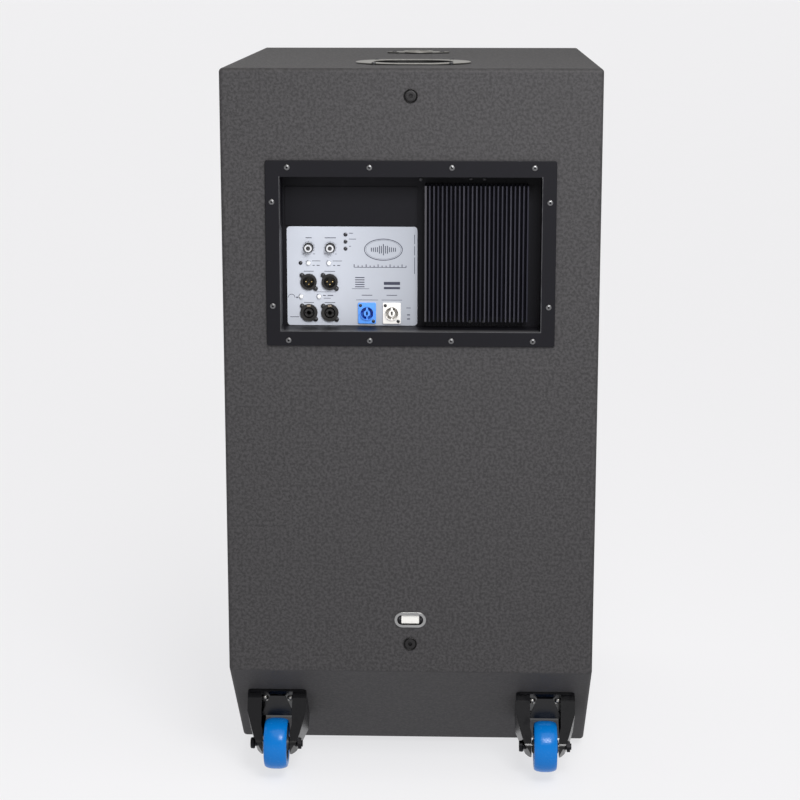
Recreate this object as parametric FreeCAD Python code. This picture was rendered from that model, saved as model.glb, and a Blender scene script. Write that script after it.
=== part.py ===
"""Powered twin subwoofer cabinet on two tilt wheels, one STEP file per piece.

Millimetres. +Z is up, the floor is Z = 0, the amplifier panel faces +Y and the grille faces -Y.
The origin is the middle of the whole object's footprint, on the floor.
"""
import FreeCAD, Part
import math
import os

from FreeCAD import Vector

os.makedirs("parts", exist_ok=True)

# ---------------------------------------------------------------- driving dimensions
WIDTH = 560.0
HEIGHT = 1100.0
DEPTH = 684.0
PLY = 18.0
EDGE_RADIUS = 6.0
BEVEL = 178.6
FOOT_HEIGHT = 12.0

GASKET = 1.5
FRAME_THICK = 2.5
FRAME_HALF_WIDTH = 214.0
FRAME_LOW = 690.2
FRAME_TALL = 276.2
RECESS_HALF_WIDTH = 193.0
RECESS_LOW = 712.3
RECESS_TALL = 230.0
RECESS_DEEP = 50.0
TRAY_WALL = 2.0
FRAME_SCREW_HEAD = 2.2
FRAME_SCREW_RADIUS = 4.3
HOUSING_DEEP = 122.0

PLATE_THICK = 1.5
PLATE_HIGH_X = 187.0
PLATE_WIDE = 196.0
PLATE_LOW = 712.8
PLATE_TALL = 150.0

FIN_COUNT = 25
FIN_PITCH = 6.3
FIN_THICK = 2.0
FIN_DEEP = 30.0
SINK_BASE = 5.0
SINK_LOW = 725.0
SINK_TALL = 202.7
SINK_HIGH_X = -20.5
BLANK_HIGH = 922.5

SOCKET_EAR_REACH = 10.2
SOCKET_EAR_RADIUS = 3.4
SOCKET_BODY_RADIUS = 11.4
SOCKET_BEHIND = 22.0
MAINS_RADIUS = 10.6
SHAFT_RADIUS = 3.0
BUTTON_RADIUS = 3.1
LIGHT_RADIUS = 3.0

WOOFER_EDGE = 257.0
BASKET_RADIUS = 230.0
CUTOUT_RADIUS = 212.0
BAFFLE_SETBACK = 45.0
BAFFLE_THICK = 21.0
PORT_TALL = 84.0
PORT_DEEP = 300.0
GRILLE_SCREW_HEAD = 1.9

WHEEL_RADIUS = 40.0
TYRE_WIDE = 36.0
AXLE_RADIUS = 5.0
AXLE_OUT = 70.0
CASTER_X = 211.0
CASTER_FROM_REAR = 84.4

POLE_RADIUS = 18.0
POLE_DEEP = 80.0
POLE_FROM_REAR = 470.0
TOP_HANDLE_FROM_REAR = 150.0
SIDE_HANDLE_Z = 725.0
SIDE_HANDLE_Y = -30.0
HANDLE_LONG = 176.0
HANDLE_SHORT = 136.0
HANDLE_CUP_LONG = 122.0
HANDLE_CUP_SHORT = 98.0
HANDLE_CUP_DEEP = 58.0
HANDLE_LIP = 2.5
GRIP_RADIUS = 9.0
GRIP_SUNK = 12.0

RUNNING_FIT = 0.05
CLEAR = 0.3

# ---------------------------------------------------------------- places worked out from them
REAR_PROUD = GASKET + FRAME_THICK + FRAME_SCREW_HEAD
REAR = (DEPTH + GRILLE_SCREW_HEAD - REAR_PROUD) / 2.0
FRONT = REAR - DEPTH
LOW = FOOT_HEIGHT
HIGH = LOW + HEIGHT
HALF = WIDTH / 2.0
INNER = HALF - PLY
RECESS_HIGH = RECESS_LOW + RECESS_TALL
FRAME_FACE = REAR + GASKET + FRAME_THICK
TRAY_FLOOR_Y = FRAME_FACE - RECESS_DEEP
PLATE_FACE = TRAY_FLOOR_Y + PLATE_THICK
PLATE_LOW_X = PLATE_HIGH_X - PLATE_WIDE
SINK_LOW_X = SINK_HIGH_X - (FIN_COUNT - 1) * FIN_PITCH - FIN_THICK
WOOFER_Z = (LOW + WOOFER_EDGE, HIGH - WOOFER_EDGE)
BAFFLE_Y = FRONT + BAFFLE_SETBACK
MIDDLE_Z = LOW + HEIGHT / 2.0
POLE_Y = REAR - POLE_FROM_REAR

KNOBS = {"gain_knob": (154.3, 831.0), "filter_knob": (121.7, 831.0)}
BUTTONS = {
    "button_phase": (154.4, 807.6),
    "button_ground": (123.5, 807.6),
    "button_delay": (165.7, 756.7),
    "button_link": (138.7, 756.7),
}
LIGHTS = [(98.8, 850.7), (98.8, 840.1), (98.8, 829.6), (166.6, 807.6)]
LINK_SOCKETS = [(154.5, 779.1), (122.8, 779.1)]
INPUT_SOCKETS = [(154.5, 732.2), (122.8, 732.2)]
MAINS = {"mains_inlet": (66.8, 731.7), "mains_outlet": (29.4, 731.7)}
NAME_DISH_Z = 262.5
RIGGING_Z = (1060.1, 223.8)
FRAME_SCREWS = [(x, z) for z in (698.5, 956.2) for x in (-181.5, -60.5, 60.5, 181.5)]
FRAME_SCREWS += [(x, z) for z in (750.0, 905.3) for x in (-204.5, 204.5)]
SINK_SCREWS = [(-14.0, 934.0), (-88.5, 934.0), (-108.5, 934.0), (-88.5, 718.5), (-108.5, 718.5)]

X_AXIS = Vector(1, 0, 0)
Y_AXIS = Vector(0, 1, 0)
Z_AXIS = Vector(0, 0, 1)


# ---------------------------------------------------------------- helpers
def box(x0, x1, y0, y1, z0, z1):
    """A block between two corners."""
    return Part.makeBox(x1 - x0, y1 - y0, z1 - z0, Vector(x0, y0, z0))


def rod(radius, start, direction, length):
    """A cylinder from a start point along a direction."""
    return Part.makeCylinder(radius, length, Vector(*start), direction)


def tube(outer, inner, start, direction, length):
    """A straight tube."""
    return rod(outer, start, direction, length).cut(rod(inner, start, direction, length))


def prism(points, direction):
    """A flat outline of straight edges, pushed along a direction."""
    corners = [Vector(*p) for p in points]
    return Part.Face(Part.makePolygon(corners + [corners[0]])).extrude(direction)


def turned(profile, centre, axis):
    """A closed outline of (distance along the axis, radius) pairs, turned once about the axis."""
    across = X_AXIS if abs(axis.x) < 0.5 else Z_AXIS
    corners = [Vector(*centre) + axis * along + across * radius for along, radius in profile]
    face = Part.Face(Part.makePolygon(corners + [corners[0]]))
    return face.revolve(Vector(*centre), axis, 360)


def rounded(shape, radius, axis):
    """Rounds the edges that run along an axis."""
    edges = []
    for edge in shape.Edges:
        start, end = edge.Vertexes[0].Point, edge.Vertexes[-1].Point
        if edge.Length > 1e-6 and abs((end - start).normalize().dot(axis)) > 0.999:
            edges.append(edge)
    return shape.makeFillet(radius, edges)


def edges_at_y(shape, y):
    """The edges of a shape that lie in the plane at y."""
    return [e for e in shape.Edges if abs(e.BoundBox.YMin - y) < 1e-4 and abs(e.BoundBox.YMax - y) < 1e-4]


def stadium(long, short, y_in, y_out, x=0.0, z=0.0):
    """A bar with round ends, long along X, pushed along Y."""
    end = short / 2.0
    run = long / 2.0 - end
    body = box(x - run, x + run, y_in, y_out, z - end, z + end)
    caps = [rod(end, (x + side * run, y_in, z), Y_AXIS, y_out - y_in) for side in (-1, 1)]
    return body.multiFuse(caps).removeSplitter()


def joined(*shapes):
    """Several touching solids made into one."""
    first, rest = shapes[0], list(shapes[1:])
    return first.multiFuse(rest).removeSplitter()


def hexagon(across_flats, start, direction, depth):
    """A six-sided prism, for a nut or for the hole that a key fits."""
    radius = across_flats / math.sqrt(3.0)
    side = Z_AXIS if abs(direction.z) < 0.5 else X_AXIS
    other = direction.cross(side)
    corners = []
    for turn in range(6):
        angle = turn * math.pi / 3.0
        corners.append(Vector(*start) + (side * math.cos(angle) + other * math.sin(angle)) * radius)
    return Part.Face(Part.makePolygon(corners + [corners[0]])).extrude(direction * depth)


def pan_screw(start, direction, head_radius, head_height, shank_radius, shank_length, key):
    """A screw with a domed head: start is under the head, direction points out of the head."""
    dome = [
        (-shank_length, 0.0),
        (-shank_length, shank_radius),
        (0.0, shank_radius),
        (0.0, head_radius),
        (head_height * 0.45, head_radius * 0.97),
        (head_height * 0.8, head_radius * 0.75),
        (head_height, head_radius * 0.4),
        (head_height, 0.0),
    ]
    screw = turned(dome, start, direction)
    recess_start = Vector(*start) + direction * (head_height * 0.25)
    return screw.cut(hexagon(key, tuple(recess_start), direction, head_height))


def save(name, *shapes):
    """Writes one node."""
    solids = [solid for shape in shapes for solid in shape.Solids]
    whole = solids[0] if len(solids) == 1 else Part.makeCompound(solids)
    whole.exportStep("parts/" + name + ".step")


# ---------------------------------------------------------------- cabinet
def cabinet_profile():
    """Corners of the cabinet seen from the side, as (y, z), from the front at the bottom."""
    return [
        (FRONT, LOW),
        (REAR - BEVEL, LOW),
        (REAR, LOW + BEVEL),
        (REAR, HIGH),
        (FRONT, HIGH),
    ]


def inner_profile():
    """The same corners one board thickness further in; the front stays open."""
    slant = PLY * math.tan(math.radians(22.5))
    return [
        (FRONT, LOW + PLY),
        (REAR - BEVEL - slant, LOW + PLY),
        (REAR - PLY, LOW + BEVEL + slant),
        (REAR - PLY, HIGH - PLY),
        (FRONT, HIGH - PLY),
    ]


def envelope():
    """The whole cabinet as one block with all its edges rounded."""
    block = prism([(-HALF, y, z) for y, z in cabinet_profile()], Vector(WIDTH, 0, 0))
    return block.makeFillet(EDGE_RADIUS, block.Edges)


def long_board(index):
    """One of the four boards that run between the sides, mitred to its neighbours."""
    outer, inner = cabinet_profile(), inner_profile()
    corners = [outer[index], outer[index + 1], inner[index + 1], inner[index]]
    return prism([(-INNER, y, z) for y, z in corners], Vector(2 * INNER, 0, 0))


def side_board(side):
    """One side of the cabinet, -1 or +1."""
    x0 = -HALF if side < 0 else INNER
    return prism([(x0, y, z) for y, z in cabinet_profile()], Vector(PLY, 0, 0))


# ---------------------------------------------------------------- recessed bar handle
def handle_parts():
    """Cup and grip bar of a handle that lies in the X-Z plane, with its mouth facing +Y."""
    lip = stadium(HANDLE_LONG, HANDLE_SHORT, 0.0, HANDLE_LIP)
    lip = lip.makeFillet(HANDLE_LIP * 0.6, edges_at_y(lip, HANDLE_LIP))
    wall = 2.0
    cup = stadium(HANDLE_CUP_LONG + 2 * wall, HANDLE_CUP_SHORT + 2 * wall, -HANDLE_CUP_DEEP, 0.0)
    hollow = stadium(HANDLE_CUP_LONG, HANDLE_CUP_SHORT, -HANDLE_CUP_DEEP + wall, HANDLE_LIP + 1.0)
    bar = rod(GRIP_RADIUS, (-HANDLE_CUP_LONG / 2 - wall, -GRIP_SUNK, 0.0), X_AXIS, HANDLE_CUP_LONG + 2 * wall)
    shell = joined(lip, cup).cut(hollow).cut(bar)
    screws = []
    for x in (-1, 1):
        for z in (-1, 1):
            place = (x * (HANDLE_LONG / 2 - 30.0), HANDLE_LIP, z * (HANDLE_SHORT / 2 - 12.0))
            screws.append(pan_screw(place, Y_AXIS, 3.6, 1.6, 1.8, 16.0, 2.5))
    screws = Part.makeCompound(screws)
    return shell.cut(screws), bar, screws


def handle_hole():
    """The opening that a handle's cup needs in its board."""
    return stadium(HANDLE_CUP_LONG + 8.0, HANDLE_CUP_SHORT + 8.0, -2.0 * PLY, 0.0)


def placed(shape, rotation_axis, degrees, move):
    """A copy of a shape turned about the origin and then moved."""
    copy = shape.copy()
    copy.rotate(Vector(0, 0, 0), rotation_axis, degrees)
    copy.translate(Vector(*move))
    return copy


def handles():
    """Top and side handles, as lists of (cup, bar, screws, hole)."""
    kit = handle_parts() + (handle_hole(),)
    top = [placed(s, X_AXIS, 90, (0, REAR - TOP_HANDLE_FROM_REAR, HIGH)) for s in kit]
    sides = []
    for side in (-1, 1):
        place = (side * HALF, SIDE_HANDLE_Y, SIDE_HANDLE_Z)
        sides.append([placed(s, Z_AXIS, -90 * side, place) for s in kit])
    return top, sides


# ---------------------------------------------------------------- pole socket
def pole_socket():
    """A cup for a loudspeaker pole, with a raised ring and two pointed lobes on the top board."""
    lobe_reach, lobe_width, plate = 55.0, 26.0, 2.5
    centre = (0.0, POLE_Y, HIGH)
    outline = [(-lobe_reach, 0), (-32, -lobe_width / 2), (32, -lobe_width / 2), (lobe_reach, 0)]
    outline += [(32, lobe_width / 2), (-32, lobe_width / 2)]
    flange = prism([(x, POLE_Y + y, HIGH) for x, y in outline], Vector(0, 0, plate))
    flange = rounded(flange, 3.0, Z_AXIS)
    ring = rod(25.5, centre, Z_AXIS, 4.0)
    ring = ring.makeFillet(1.5, [e for e in ring.Edges if abs(e.BoundBox.ZMin - HIGH - 4.0) < 1e-4])
    barrel = rod(POLE_RADIUS + 3.0, (0, POLE_Y, HIGH - POLE_DEEP - 3.0), Z_AXIS, POLE_DEEP + 3.0)
    bore = rod(POLE_RADIUS, (0, POLE_Y, HIGH + 4.0 - POLE_DEEP), Z_AXIS, POLE_DEEP + 1.0)
    screws = []
    for side in (-1, 1):
        place = (side * 40.0, POLE_Y, HIGH + plate)
        screws.append(pan_screw(place, Z_AXIS, 4.0, 1.8, 2.2, 18.0, 2.5))
    screws = Part.makeCompound(screws)
    return joined(flange, ring, barrel).cut(bore).cut(screws), screws


# ---------------------------------------------------------------- amplifier
def frame_screw_group():
    """The twelve screws that hold the amplifier frame."""
    screws = []
    for x, z in FRAME_SCREWS:
        place = (x, FRAME_FACE, LOW + z)
        screws.append(pan_screw(place, Y_AXIS, FRAME_SCREW_RADIUS, FRAME_SCREW_HEAD, 2.2, 20.0, 3.0))
    return Part.makeCompound(screws)


def amplifier_frame(screws):
    """A flange with a recessed tray; the tray's floor has windows for the plate and the heatsink."""
    back = REAR + GASKET
    half, low, high = FRAME_HALF_WIDTH, LOW + FRAME_LOW, LOW + FRAME_LOW + FRAME_TALL
    flange = rounded(box(-half, half, back, FRAME_FACE, low, high), 3.0, Y_AXIS)
    flange = flange.makeFillet(1.0, edges_at_y(flange, FRAME_FACE))
    low, high, wide = LOW + RECESS_LOW, LOW + RECESS_HIGH, RECESS_HALF_WIDTH
    outer = wide + TRAY_WALL
    tray = box(-outer, outer, TRAY_FLOOR_Y - TRAY_WALL, back, low - TRAY_WALL, high + TRAY_WALL)
    hollow = rounded(box(-wide, wide, TRAY_FLOOR_Y, FRAME_FACE + 1.0, low, high), 2.5, Y_AXIS)
    margin, through = 5.0, TRAY_FLOOR_Y - 5.0
    plate_low, plate_high = LOW + PLATE_LOW + margin, LOW + PLATE_LOW + PLATE_TALL - margin
    sink_low, sink_high = LOW + SINK_LOW + margin, LOW + SINK_LOW + SINK_TALL - margin
    windows = [
        box(PLATE_LOW_X + margin, PLATE_HIGH_X - margin, through, FRAME_FACE, plate_low, plate_high),
        box(SINK_LOW_X + margin, SINK_HIGH_X - margin, through, FRAME_FACE, sink_low, sink_high),
    ]
    return joined(flange, tray).cut([hollow] + windows).cut(screws)


def amplifier_gasket(screws):
    """A foam ring between the frame and the cabinet."""
    inset = 2.0
    half, low = FRAME_HALF_WIDTH - inset, LOW + FRAME_LOW + inset
    outer = box(-half, half, REAR, REAR + GASKET, low, low + FRAME_TALL - 2.0 * inset)
    wide = RECESS_HALF_WIDTH + TRAY_WALL
    low, high = LOW + RECESS_LOW - TRAY_WALL, LOW + RECESS_HIGH + TRAY_WALL
    return outer.cut(box(-wide, wide, REAR - 1.0, REAR + 5.0, low, high)).cut(screws)


def heatsink():
    """A base with upright fins; the last fin, beside the control plate, is thicker."""
    low, high = LOW + SINK_LOW, LOW + SINK_LOW + SINK_TALL
    root = TRAY_FLOOR_Y + SINK_BASE
    base = box(SINK_LOW_X, SINK_HIGH_X, TRAY_FLOOR_Y, root, low, high)
    fins = []
    for index in range(FIN_COUNT):
        left = SINK_LOW_X + index * FIN_PITCH
        thicker = 0.8 if index == FIN_COUNT - 1 else 0.0
        fins.append(box(left - thicker, left + FIN_THICK, root - 0.5, root + FIN_DEEP, low, high))
    return base.multiFuse(fins).removeSplitter()


def control_plate_blank():
    """The control plate before its holes are cut."""
    low = LOW + PLATE_LOW
    plate = box(PLATE_LOW_X, PLATE_HIGH_X, TRAY_FLOOR_Y, PLATE_FACE, low, low + PLATE_TALL)
    return rounded(plate, 5.0, Y_AXIS)


def blank_plate():
    """The black plate above the control plate."""
    low, high = LOW + PLATE_LOW + PLATE_TALL + 1.5, LOW + BLANK_HIGH
    plate = box(PLATE_LOW_X, PLATE_HIGH_X + 2.0, TRAY_FLOOR_Y, TRAY_FLOOR_Y + 2.0, low, high)
    return rounded(plate, 2.0, Y_AXIS)


def ear_pair(x, z, back, front, reach, radius):
    """The two screw ears of a socket, on one diagonal."""
    pieces = []
    for side in (-1, 1):
        pieces.append(rod(radius, (x + side * reach, back, z + side * reach), Y_AXIS, front - back))
    return pieces


def diagonal_bar(x, z, back, front, reach, radius):
    """A straight bar with round ends between a socket's ears."""
    half = math.hypot(reach, reach)
    bar = box(-half, half, back, front, -radius, radius)
    bar.rotate(Vector(0, 0, 0), Y_AXIS, -45)
    bar.translate(Vector(x, 0, z))
    return joined(bar, *ear_pair(x, z, back, front, reach, radius))


def link_socket(x, z):
    """A round socket with a hollow mouth and three pins: body and pins."""
    face = PLATE_FACE
    bar = diagonal_bar(x, z, face, face + 2.0, SOCKET_EAR_REACH, SOCKET_EAR_RADIUS)
    body = joined(
        bar,
        rod(SOCKET_BODY_RADIUS + 0.8, (x, face, z), Y_AXIS, 3.2),
        rod(SOCKET_BODY_RADIUS, (x, face - SOCKET_BEHIND, z), Y_AXIS, SOCKET_BEHIND),
    )
    mouth = rod(8.9, (x, face - 14.0, z), Y_AXIS, 30.0)
    body = body.cut(mouth)
    pins = []
    for dx, dz in ((-4.2, 0.0), (4.2, 0.0), (0.0, -4.2)):
        pin = rod(1.2, (x + dx, face - 18.0, z + dz), Y_AXIS, 18.5)
        pins.append(pin.makeFillet(0.9, edges_at_y(pin, face + 0.5)))
    pins = Part.makeCompound(pins)
    return body.cut(pins), pins


def latch_tab(x, z):
    """The release tab at the top of an input socket; it slides down towards the mouth."""
    face = PLATE_FACE
    cap = box(x - 3.0, x + 3.0, face + 3.5, face + 5.2, z + 9.0, z + 12.2)
    cap = cap.makeFillet(0.5, cap.Edges)
    stem = box(x - 1.8, x + 1.8, face - 6.0, face + 4.0, z + 10.0, z + 11.6)
    return joined(cap, stem)


def input_socket(x, z):
    """A round socket with a slot for its release tab, and the core in its mouth, which has four holes."""
    face = PLATE_FACE
    bar = diagonal_bar(x, z, face, face + 2.0, SOCKET_EAR_REACH, SOCKET_EAR_RADIUS)
    body = joined(
        bar,
        rod(SOCKET_BODY_RADIUS + 1.6, (x, face, z), Y_AXIS, 3.2),
        rod(SOCKET_BODY_RADIUS + 0.8, (x, face - SOCKET_BEHIND - 4.0, z), Y_AXIS, SOCKET_BEHIND + 4.0),
    )
    mouth = rod(8.4, (x, face - 10.0, z), Y_AXIS, 30.0)
    centre = rod(3.3, (x, face - 20.0, z), Y_AXIS, 40.0)
    slot = box(x - 2.2, x + 2.2, face - 8.0, face + 4.0, z + 8.8, z + 12.0)
    core = rod(6.4, (x, face - 10.0, z), Y_AXIS, 13.2).cut(centre)
    for dx, dz in ((-4.9, 0.0), (4.9, 0.0), (0.0, -4.9)):
        core = core.cut(rod(0.9, (x + dx, face - 11.0, z + dz), Y_AXIS, 30.0))
    return body.cut([mouth, centre, slot]), core


def mains_socket(x, z):
    """A locking mains socket: square flange, round collar and a keyed centre."""
    face = PLATE_FACE
    flange = rounded(box(x - 13.5, x + 13.5, face, face + 2.4, z - 16.0, z + 16.0), 1.6, Y_AXIS)
    flange = flange.makeFillet(0.6, edges_at_y(flange, face + 2.4))
    body = joined(flange, rod(MAINS_RADIUS, (x, face - 24.0, z), Y_AXIS, 28.4))
    groove = tube(9.7, 4.9, (x, face - 15.0, z), Y_AXIS, 30.0)
    keys = joined(
        box(x - 1.5, x + 1.5, face - 15.0, face + 3.0, z + 4.5, z + 10.0),
        box(x - 1.0, x + 1.0, face - 15.0, face + 3.0, z - 10.0, z - 4.5),
    )
    slot = rounded(box(x - 1.4, x + 1.4, face - 10.0, face + 6.0, z - 3.2, z + 3.2), 0.6, Y_AXIS)
    return body.cut(groove.cut(keys)).cut(slot)


def socket_screws():
    """The screws in the sockets' ears and in the mains sockets' corners."""
    face = PLATE_FACE
    screws = []
    for x, z in LINK_SOCKETS + INPUT_SOCKETS:
        for side in (-1, 1):
            place = (x + side * SOCKET_EAR_REACH, face + 2.0, LOW + z + side * SOCKET_EAR_REACH)
            screws.append(pan_screw(place, Y_AXIS, 2.5, 1.2, 1.3, 7.0, 1.6))
    for x, z in MAINS.values():
        for side in (-1, 1):
            place = (x + side * 9.7, face + 2.4, LOW + z + side * 12.0)
            screws.append(pan_screw(place, Y_AXIS, 2.5, 1.2, 1.3, 7.0, 1.6))
    return screws


def sink_screws():
    """The small screws above and below the heatsink, in the tray's floor."""
    return [pan_screw((x, TRAY_FLOOR_Y, LOW + z), Y_AXIS, 2.8, 1.4, 1.4, 6.0, 1.8) for x, z in SINK_SCREWS]


def knob(x, z):
    """A ribbed knob with a pointer, on a shaft."""
    face = PLATE_FACE
    skirt = rod(7.6, (x, face + 0.6, z), Y_AXIS, 2.2)
    grip = rod(6.2, (x, face + 2.8, z), Y_AXIS, 8.2)
    grip = grip.makeFillet(0.9, edges_at_y(grip, face + 11.0))
    ribs = []
    for turn in range(18):
        angle = turn * math.pi / 9.0
        place = (x + 6.35 * math.sin(angle), face + 3.4, z + 6.35 * math.cos(angle))
        ribs.append(rod(0.55, place, Y_AXIS, 9.0))
    pointer = box(x - 0.5, x + 0.5, face + 10.4, face + 12.0, z + 1.0, z + 7.0)
    shaft = rod(SHAFT_RADIUS, (x, face - 12.0, z), Y_AXIS, 13.0)
    return joined(skirt, grip, shaft).cut(ribs).cut(pointer)


def push_button(x, z):
    """A small round push button on a stem."""
    face = PLATE_FACE
    cap = rod(BUTTON_RADIUS, (x, face - 4.0, z), Y_AXIS, 7.0)
    cap = cap.makeFillet(0.8, edges_at_y(cap, face + 3.0))
    return joined(cap, rod(1.6, (x, face - 9.0, z), Y_AXIS, 6.0))


def status_light(x, z):
    """A domed light."""
    r = LIGHT_RADIUS
    dome = [(-6.0, 0.0), (-6.0, r), (0.4, r), (1.1, r * 0.8), (1.5, r * 0.45), (1.6, 0.0)]
    return turned(dome, (x, PLATE_FACE, z), Y_AXIS)


def input_board():
    """The circuit board behind the control plate, with pots, switches and chips."""
    face = PLATE_FACE
    margin = 12.0
    board_y = face - 38.0
    low, high = LOW + PLATE_LOW + margin, LOW + PLATE_LOW + PLATE_TALL - margin
    pieces = [box(PLATE_LOW_X + margin, PLATE_HIGH_X - margin, board_y - 1.6, board_y, low, high)]
    for x, z in KNOBS.values():
        can = rounded(box(x - 8, x + 8, board_y, face - 6.0, LOW + z - 9, LOW + z + 7), 1.5, Y_AXIS)
        bush = rod(4.6, (x, face - 6.5, LOW + z), Y_AXIS, 4.0)
        bore = rod(SHAFT_RADIUS + RUNNING_FIT, (x, face - 12.5, LOW + z), Y_AXIS, 12.0)
        pieces.append(joined(can, bush).cut(bore))
    for x, z in BUTTONS.values():
        pieces.append(rounded(box(x - 5, x + 5, board_y, face - 11.5, LOW + z - 5, LOW + z + 5), 1.0, Y_AXIS))
    for column in range(3):
        for row in range(2):
            x, z = 20.0 + 22.0 * column, LOW + 790.0 + 26.0 * row
            pieces.append(box(x, x + 12.0, board_y, board_y + 3.2, z, z + 16.0))
    return pieces


def power_board():
    """The power board behind the heatsink, with coils and capacitors."""
    y = TRAY_FLOOR_Y - TRAY_WALL - 12.0
    x0, x1 = SINK_LOW_X - 2.0, SINK_HIGH_X
    low = LOW + SINK_LOW
    pieces = [box(x0, x1, y - 1.6, y, low + 4, low + SINK_TALL - 4)]
    for index in range(4):
        x = x0 + 24.0 + 36.0 * index
        pieces.append(rod(14.0, (x, y - 1.6, low + 34.0), Vector(0, -1, 0), 42.0))
        pieces.append(tube(13.0, 5.0, (x, y - 1.6, low + 90.0), Vector(0, -1, 0), 16.0))
        pieces.append(box(x - 9, x + 9, y, y + 4.5, low + 130.0, low + 152.0))
    return pieces


def transformer():
    """A ring core on the amplifier housing's back wall."""
    centre = (88.0, TRAY_FLOOR_Y - TRAY_WALL - HOUSING_DEEP + 4.0, LOW + 790.0)
    ring = tube(52.0, 16.0, centre, Y_AXIS, 46.0)
    round_edges = [e for e in ring.Edges if e.Curve.TypeId == "Part::GeomCircle"]
    return ring.makeFillet(8.0, round_edges)


def amplifier_housing():
    """A sheet-steel box that closes the amplifier off from the bass chamber."""
    wall = 1.5
    wide = RECESS_HALF_WIDTH - 1.0
    mouth = TRAY_FLOOR_Y - TRAY_WALL
    back = mouth - HOUSING_DEEP
    low, high = LOW + RECESS_LOW + 1.0, LOW + RECESS_HIGH - 1.0
    outer = box(-wide, wide, back, mouth, low, high)
    inner = box(-wide + wall, wide - wall, back + wall, mouth + 1.0, low + wall, high - wall)
    return outer.cut(inner)


# ---------------------------------------------------------------- woofers
def basket(z):
    """A cast basket: ring, six arms and the plate that carries the magnet."""
    start = (0.0, BAFFLE_Y - 12.0, z)
    rim = BASKET_RADIUS
    ring = turned([(0, 206), (0, rim), (12, rim), (12, 211), (20, 209), (20, 200), (8, 206)], start, Y_AXIS)
    arms_cone = turned([(14, 204), (20, 209), (118, 118), (128, 118), (128, 112), (112, 112)], start, Y_AXIS)
    windows = []
    for turn in range(6):
        window = box(-58.0, 58.0, start[1] + 22.0, start[1] + 112.0, 0.0, 260.0)
        window.rotate(Vector(0, 0, 0), Y_AXIS, 30.0 + 60.0 * turn)
        window.translate(Vector(0, 0, z))
        windows.append(window)
    back = turned([(120, 56), (120, 118), (130, 118), (130, 56)], start, Y_AXIS)
    return joined(ring, arms_cone.cut(windows), back)


def magnet(z):
    """Top plate, ring magnet and back plate with the centre pole, with a gap for the voice coil."""
    start = (0.0, BAFFLE_Y + 118.0, z)
    rings = [(0, 52.5), (0, 84), (12, 84), (12, 98), (60, 98), (60, 88), (70, 84), (70, 0), (4, 0), (4, 47.5)]
    outside = turned(rings + [(58, 47.5), (58, 52.5)], start, Y_AXIS)
    vent = rod(12.0, (0, start[1] - 5, z), Y_AXIS, 100.0)
    return outside.cut(vent)


def cone(z):
    """Paper cone with dust cap and voice coil, as one stiff moving piece."""
    start = (0.0, BAFFLE_Y - 10.0, z)
    paper = [(0, 186), (3, 186), (92, 51.2), (150, 51.2), (150, 48.8), (88, 48.8), (84, 52)]
    shell = turned(paper, start, Y_AXIS)
    outside = [(62, 84), (52, 76), (42, 58), (36, 36), (33, 0)]
    inside = [(35.5, 0), (38.5, 36), (44.5, 58), (54, 75), (64, 81)]
    cap = turned(outside + inside, start, Y_AXIS)
    return joined(shell, cap)


def suspension(z):
    """Half-roll surround in front and corrugated spider behind, as two flexible rings."""
    start = (0.0, BAFFLE_Y - 12.0, z)
    middle, reach, thick = 195.5, 8.5, 1.2
    outer_arc, inner_arc = [], []
    for step in range(9):
        angle = math.pi * step / 8.0
        outer_arc.append((-reach * math.sin(angle), middle + reach * math.cos(angle)))
        inner_arc.append((-(reach - thick) * math.sin(angle), middle + (reach - thick) * math.cos(angle)))
    roll = turned(outer_arc + inner_arc[::-1], start, Y_AXIS)
    ridges = [(102.0 + (2.0 if step % 2 else -2.0), 53.5 + 5.9 * step) for step in range(12)]
    spider = turned(ridges + [(along + 0.8, radius) for along, radius in ridges[::-1]], start, Y_AXIS)
    return roll, spider


def woofer_screws():
    """Eight screws round each woofer."""
    screws = []
    for z in WOOFER_Z:
        for turn in range(8):
            angle = math.radians(22.5 + 45.0 * turn)
            place = (221.0 * math.sin(angle), BAFFLE_Y - 12.0, z + 221.0 * math.cos(angle))
            screws.append(pan_screw(place, Vector(0, -1, 0), 4.6, 3.0, 2.5, 28.0, 3.0))
    return Part.makeCompound(screws)


# ---------------------------------------------------------------- front
def baffle(screws):
    """The board that carries the woofers, with the port slot in its middle."""
    board = box(-INNER, INNER, BAFFLE_Y, BAFFLE_Y + BAFFLE_THICK, LOW + PLY, HIGH - PLY)
    cuts = [rod(CUTOUT_RADIUS, (0, BAFFLE_Y - 1, z), Y_AXIS, BAFFLE_THICK + 2) for z in WOOFER_Z]
    half = PORT_TALL / 2.0
    cuts.append(box(-INNER + 40, INNER - 40, BAFFLE_Y - 1, BAFFLE_Y + 40, MIDDLE_Z - half, MIDDLE_Z + half))
    return board.cut(cuts).cut(screws)


def port_shelves():
    """Two boards that make the bass port's floor and ceiling."""
    y0, y1 = BAFFLE_Y + BAFFLE_THICK, BAFFLE_Y + PORT_DEEP
    half = PORT_TALL / 2
    return [
        box(-INNER, INNER, y0, y1, MIDDLE_Z + half, MIDDLE_Z + half + PLY),
        box(-INNER, INNER, y0, y1, MIDDLE_Z - half - PLY, MIDDLE_Z - half),
    ]


def brace():
    """A frame-shaped stiffener between the port and the bottom panel."""
    rail = 60.0
    low, high = LOW + PLY, MIDDLE_Z - PORT_TALL / 2.0 - PLY
    board = box(-INNER, INNER, BAFFLE_Y + PORT_DEEP - PLY, BAFFLE_Y + PORT_DEEP, low, high)
    window = box(-INNER + rail, INNER - rail, FRONT, REAR, low + rail, high - rail)
    return board.cut(rounded(window, 40.0, Y_AXIS))


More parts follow.
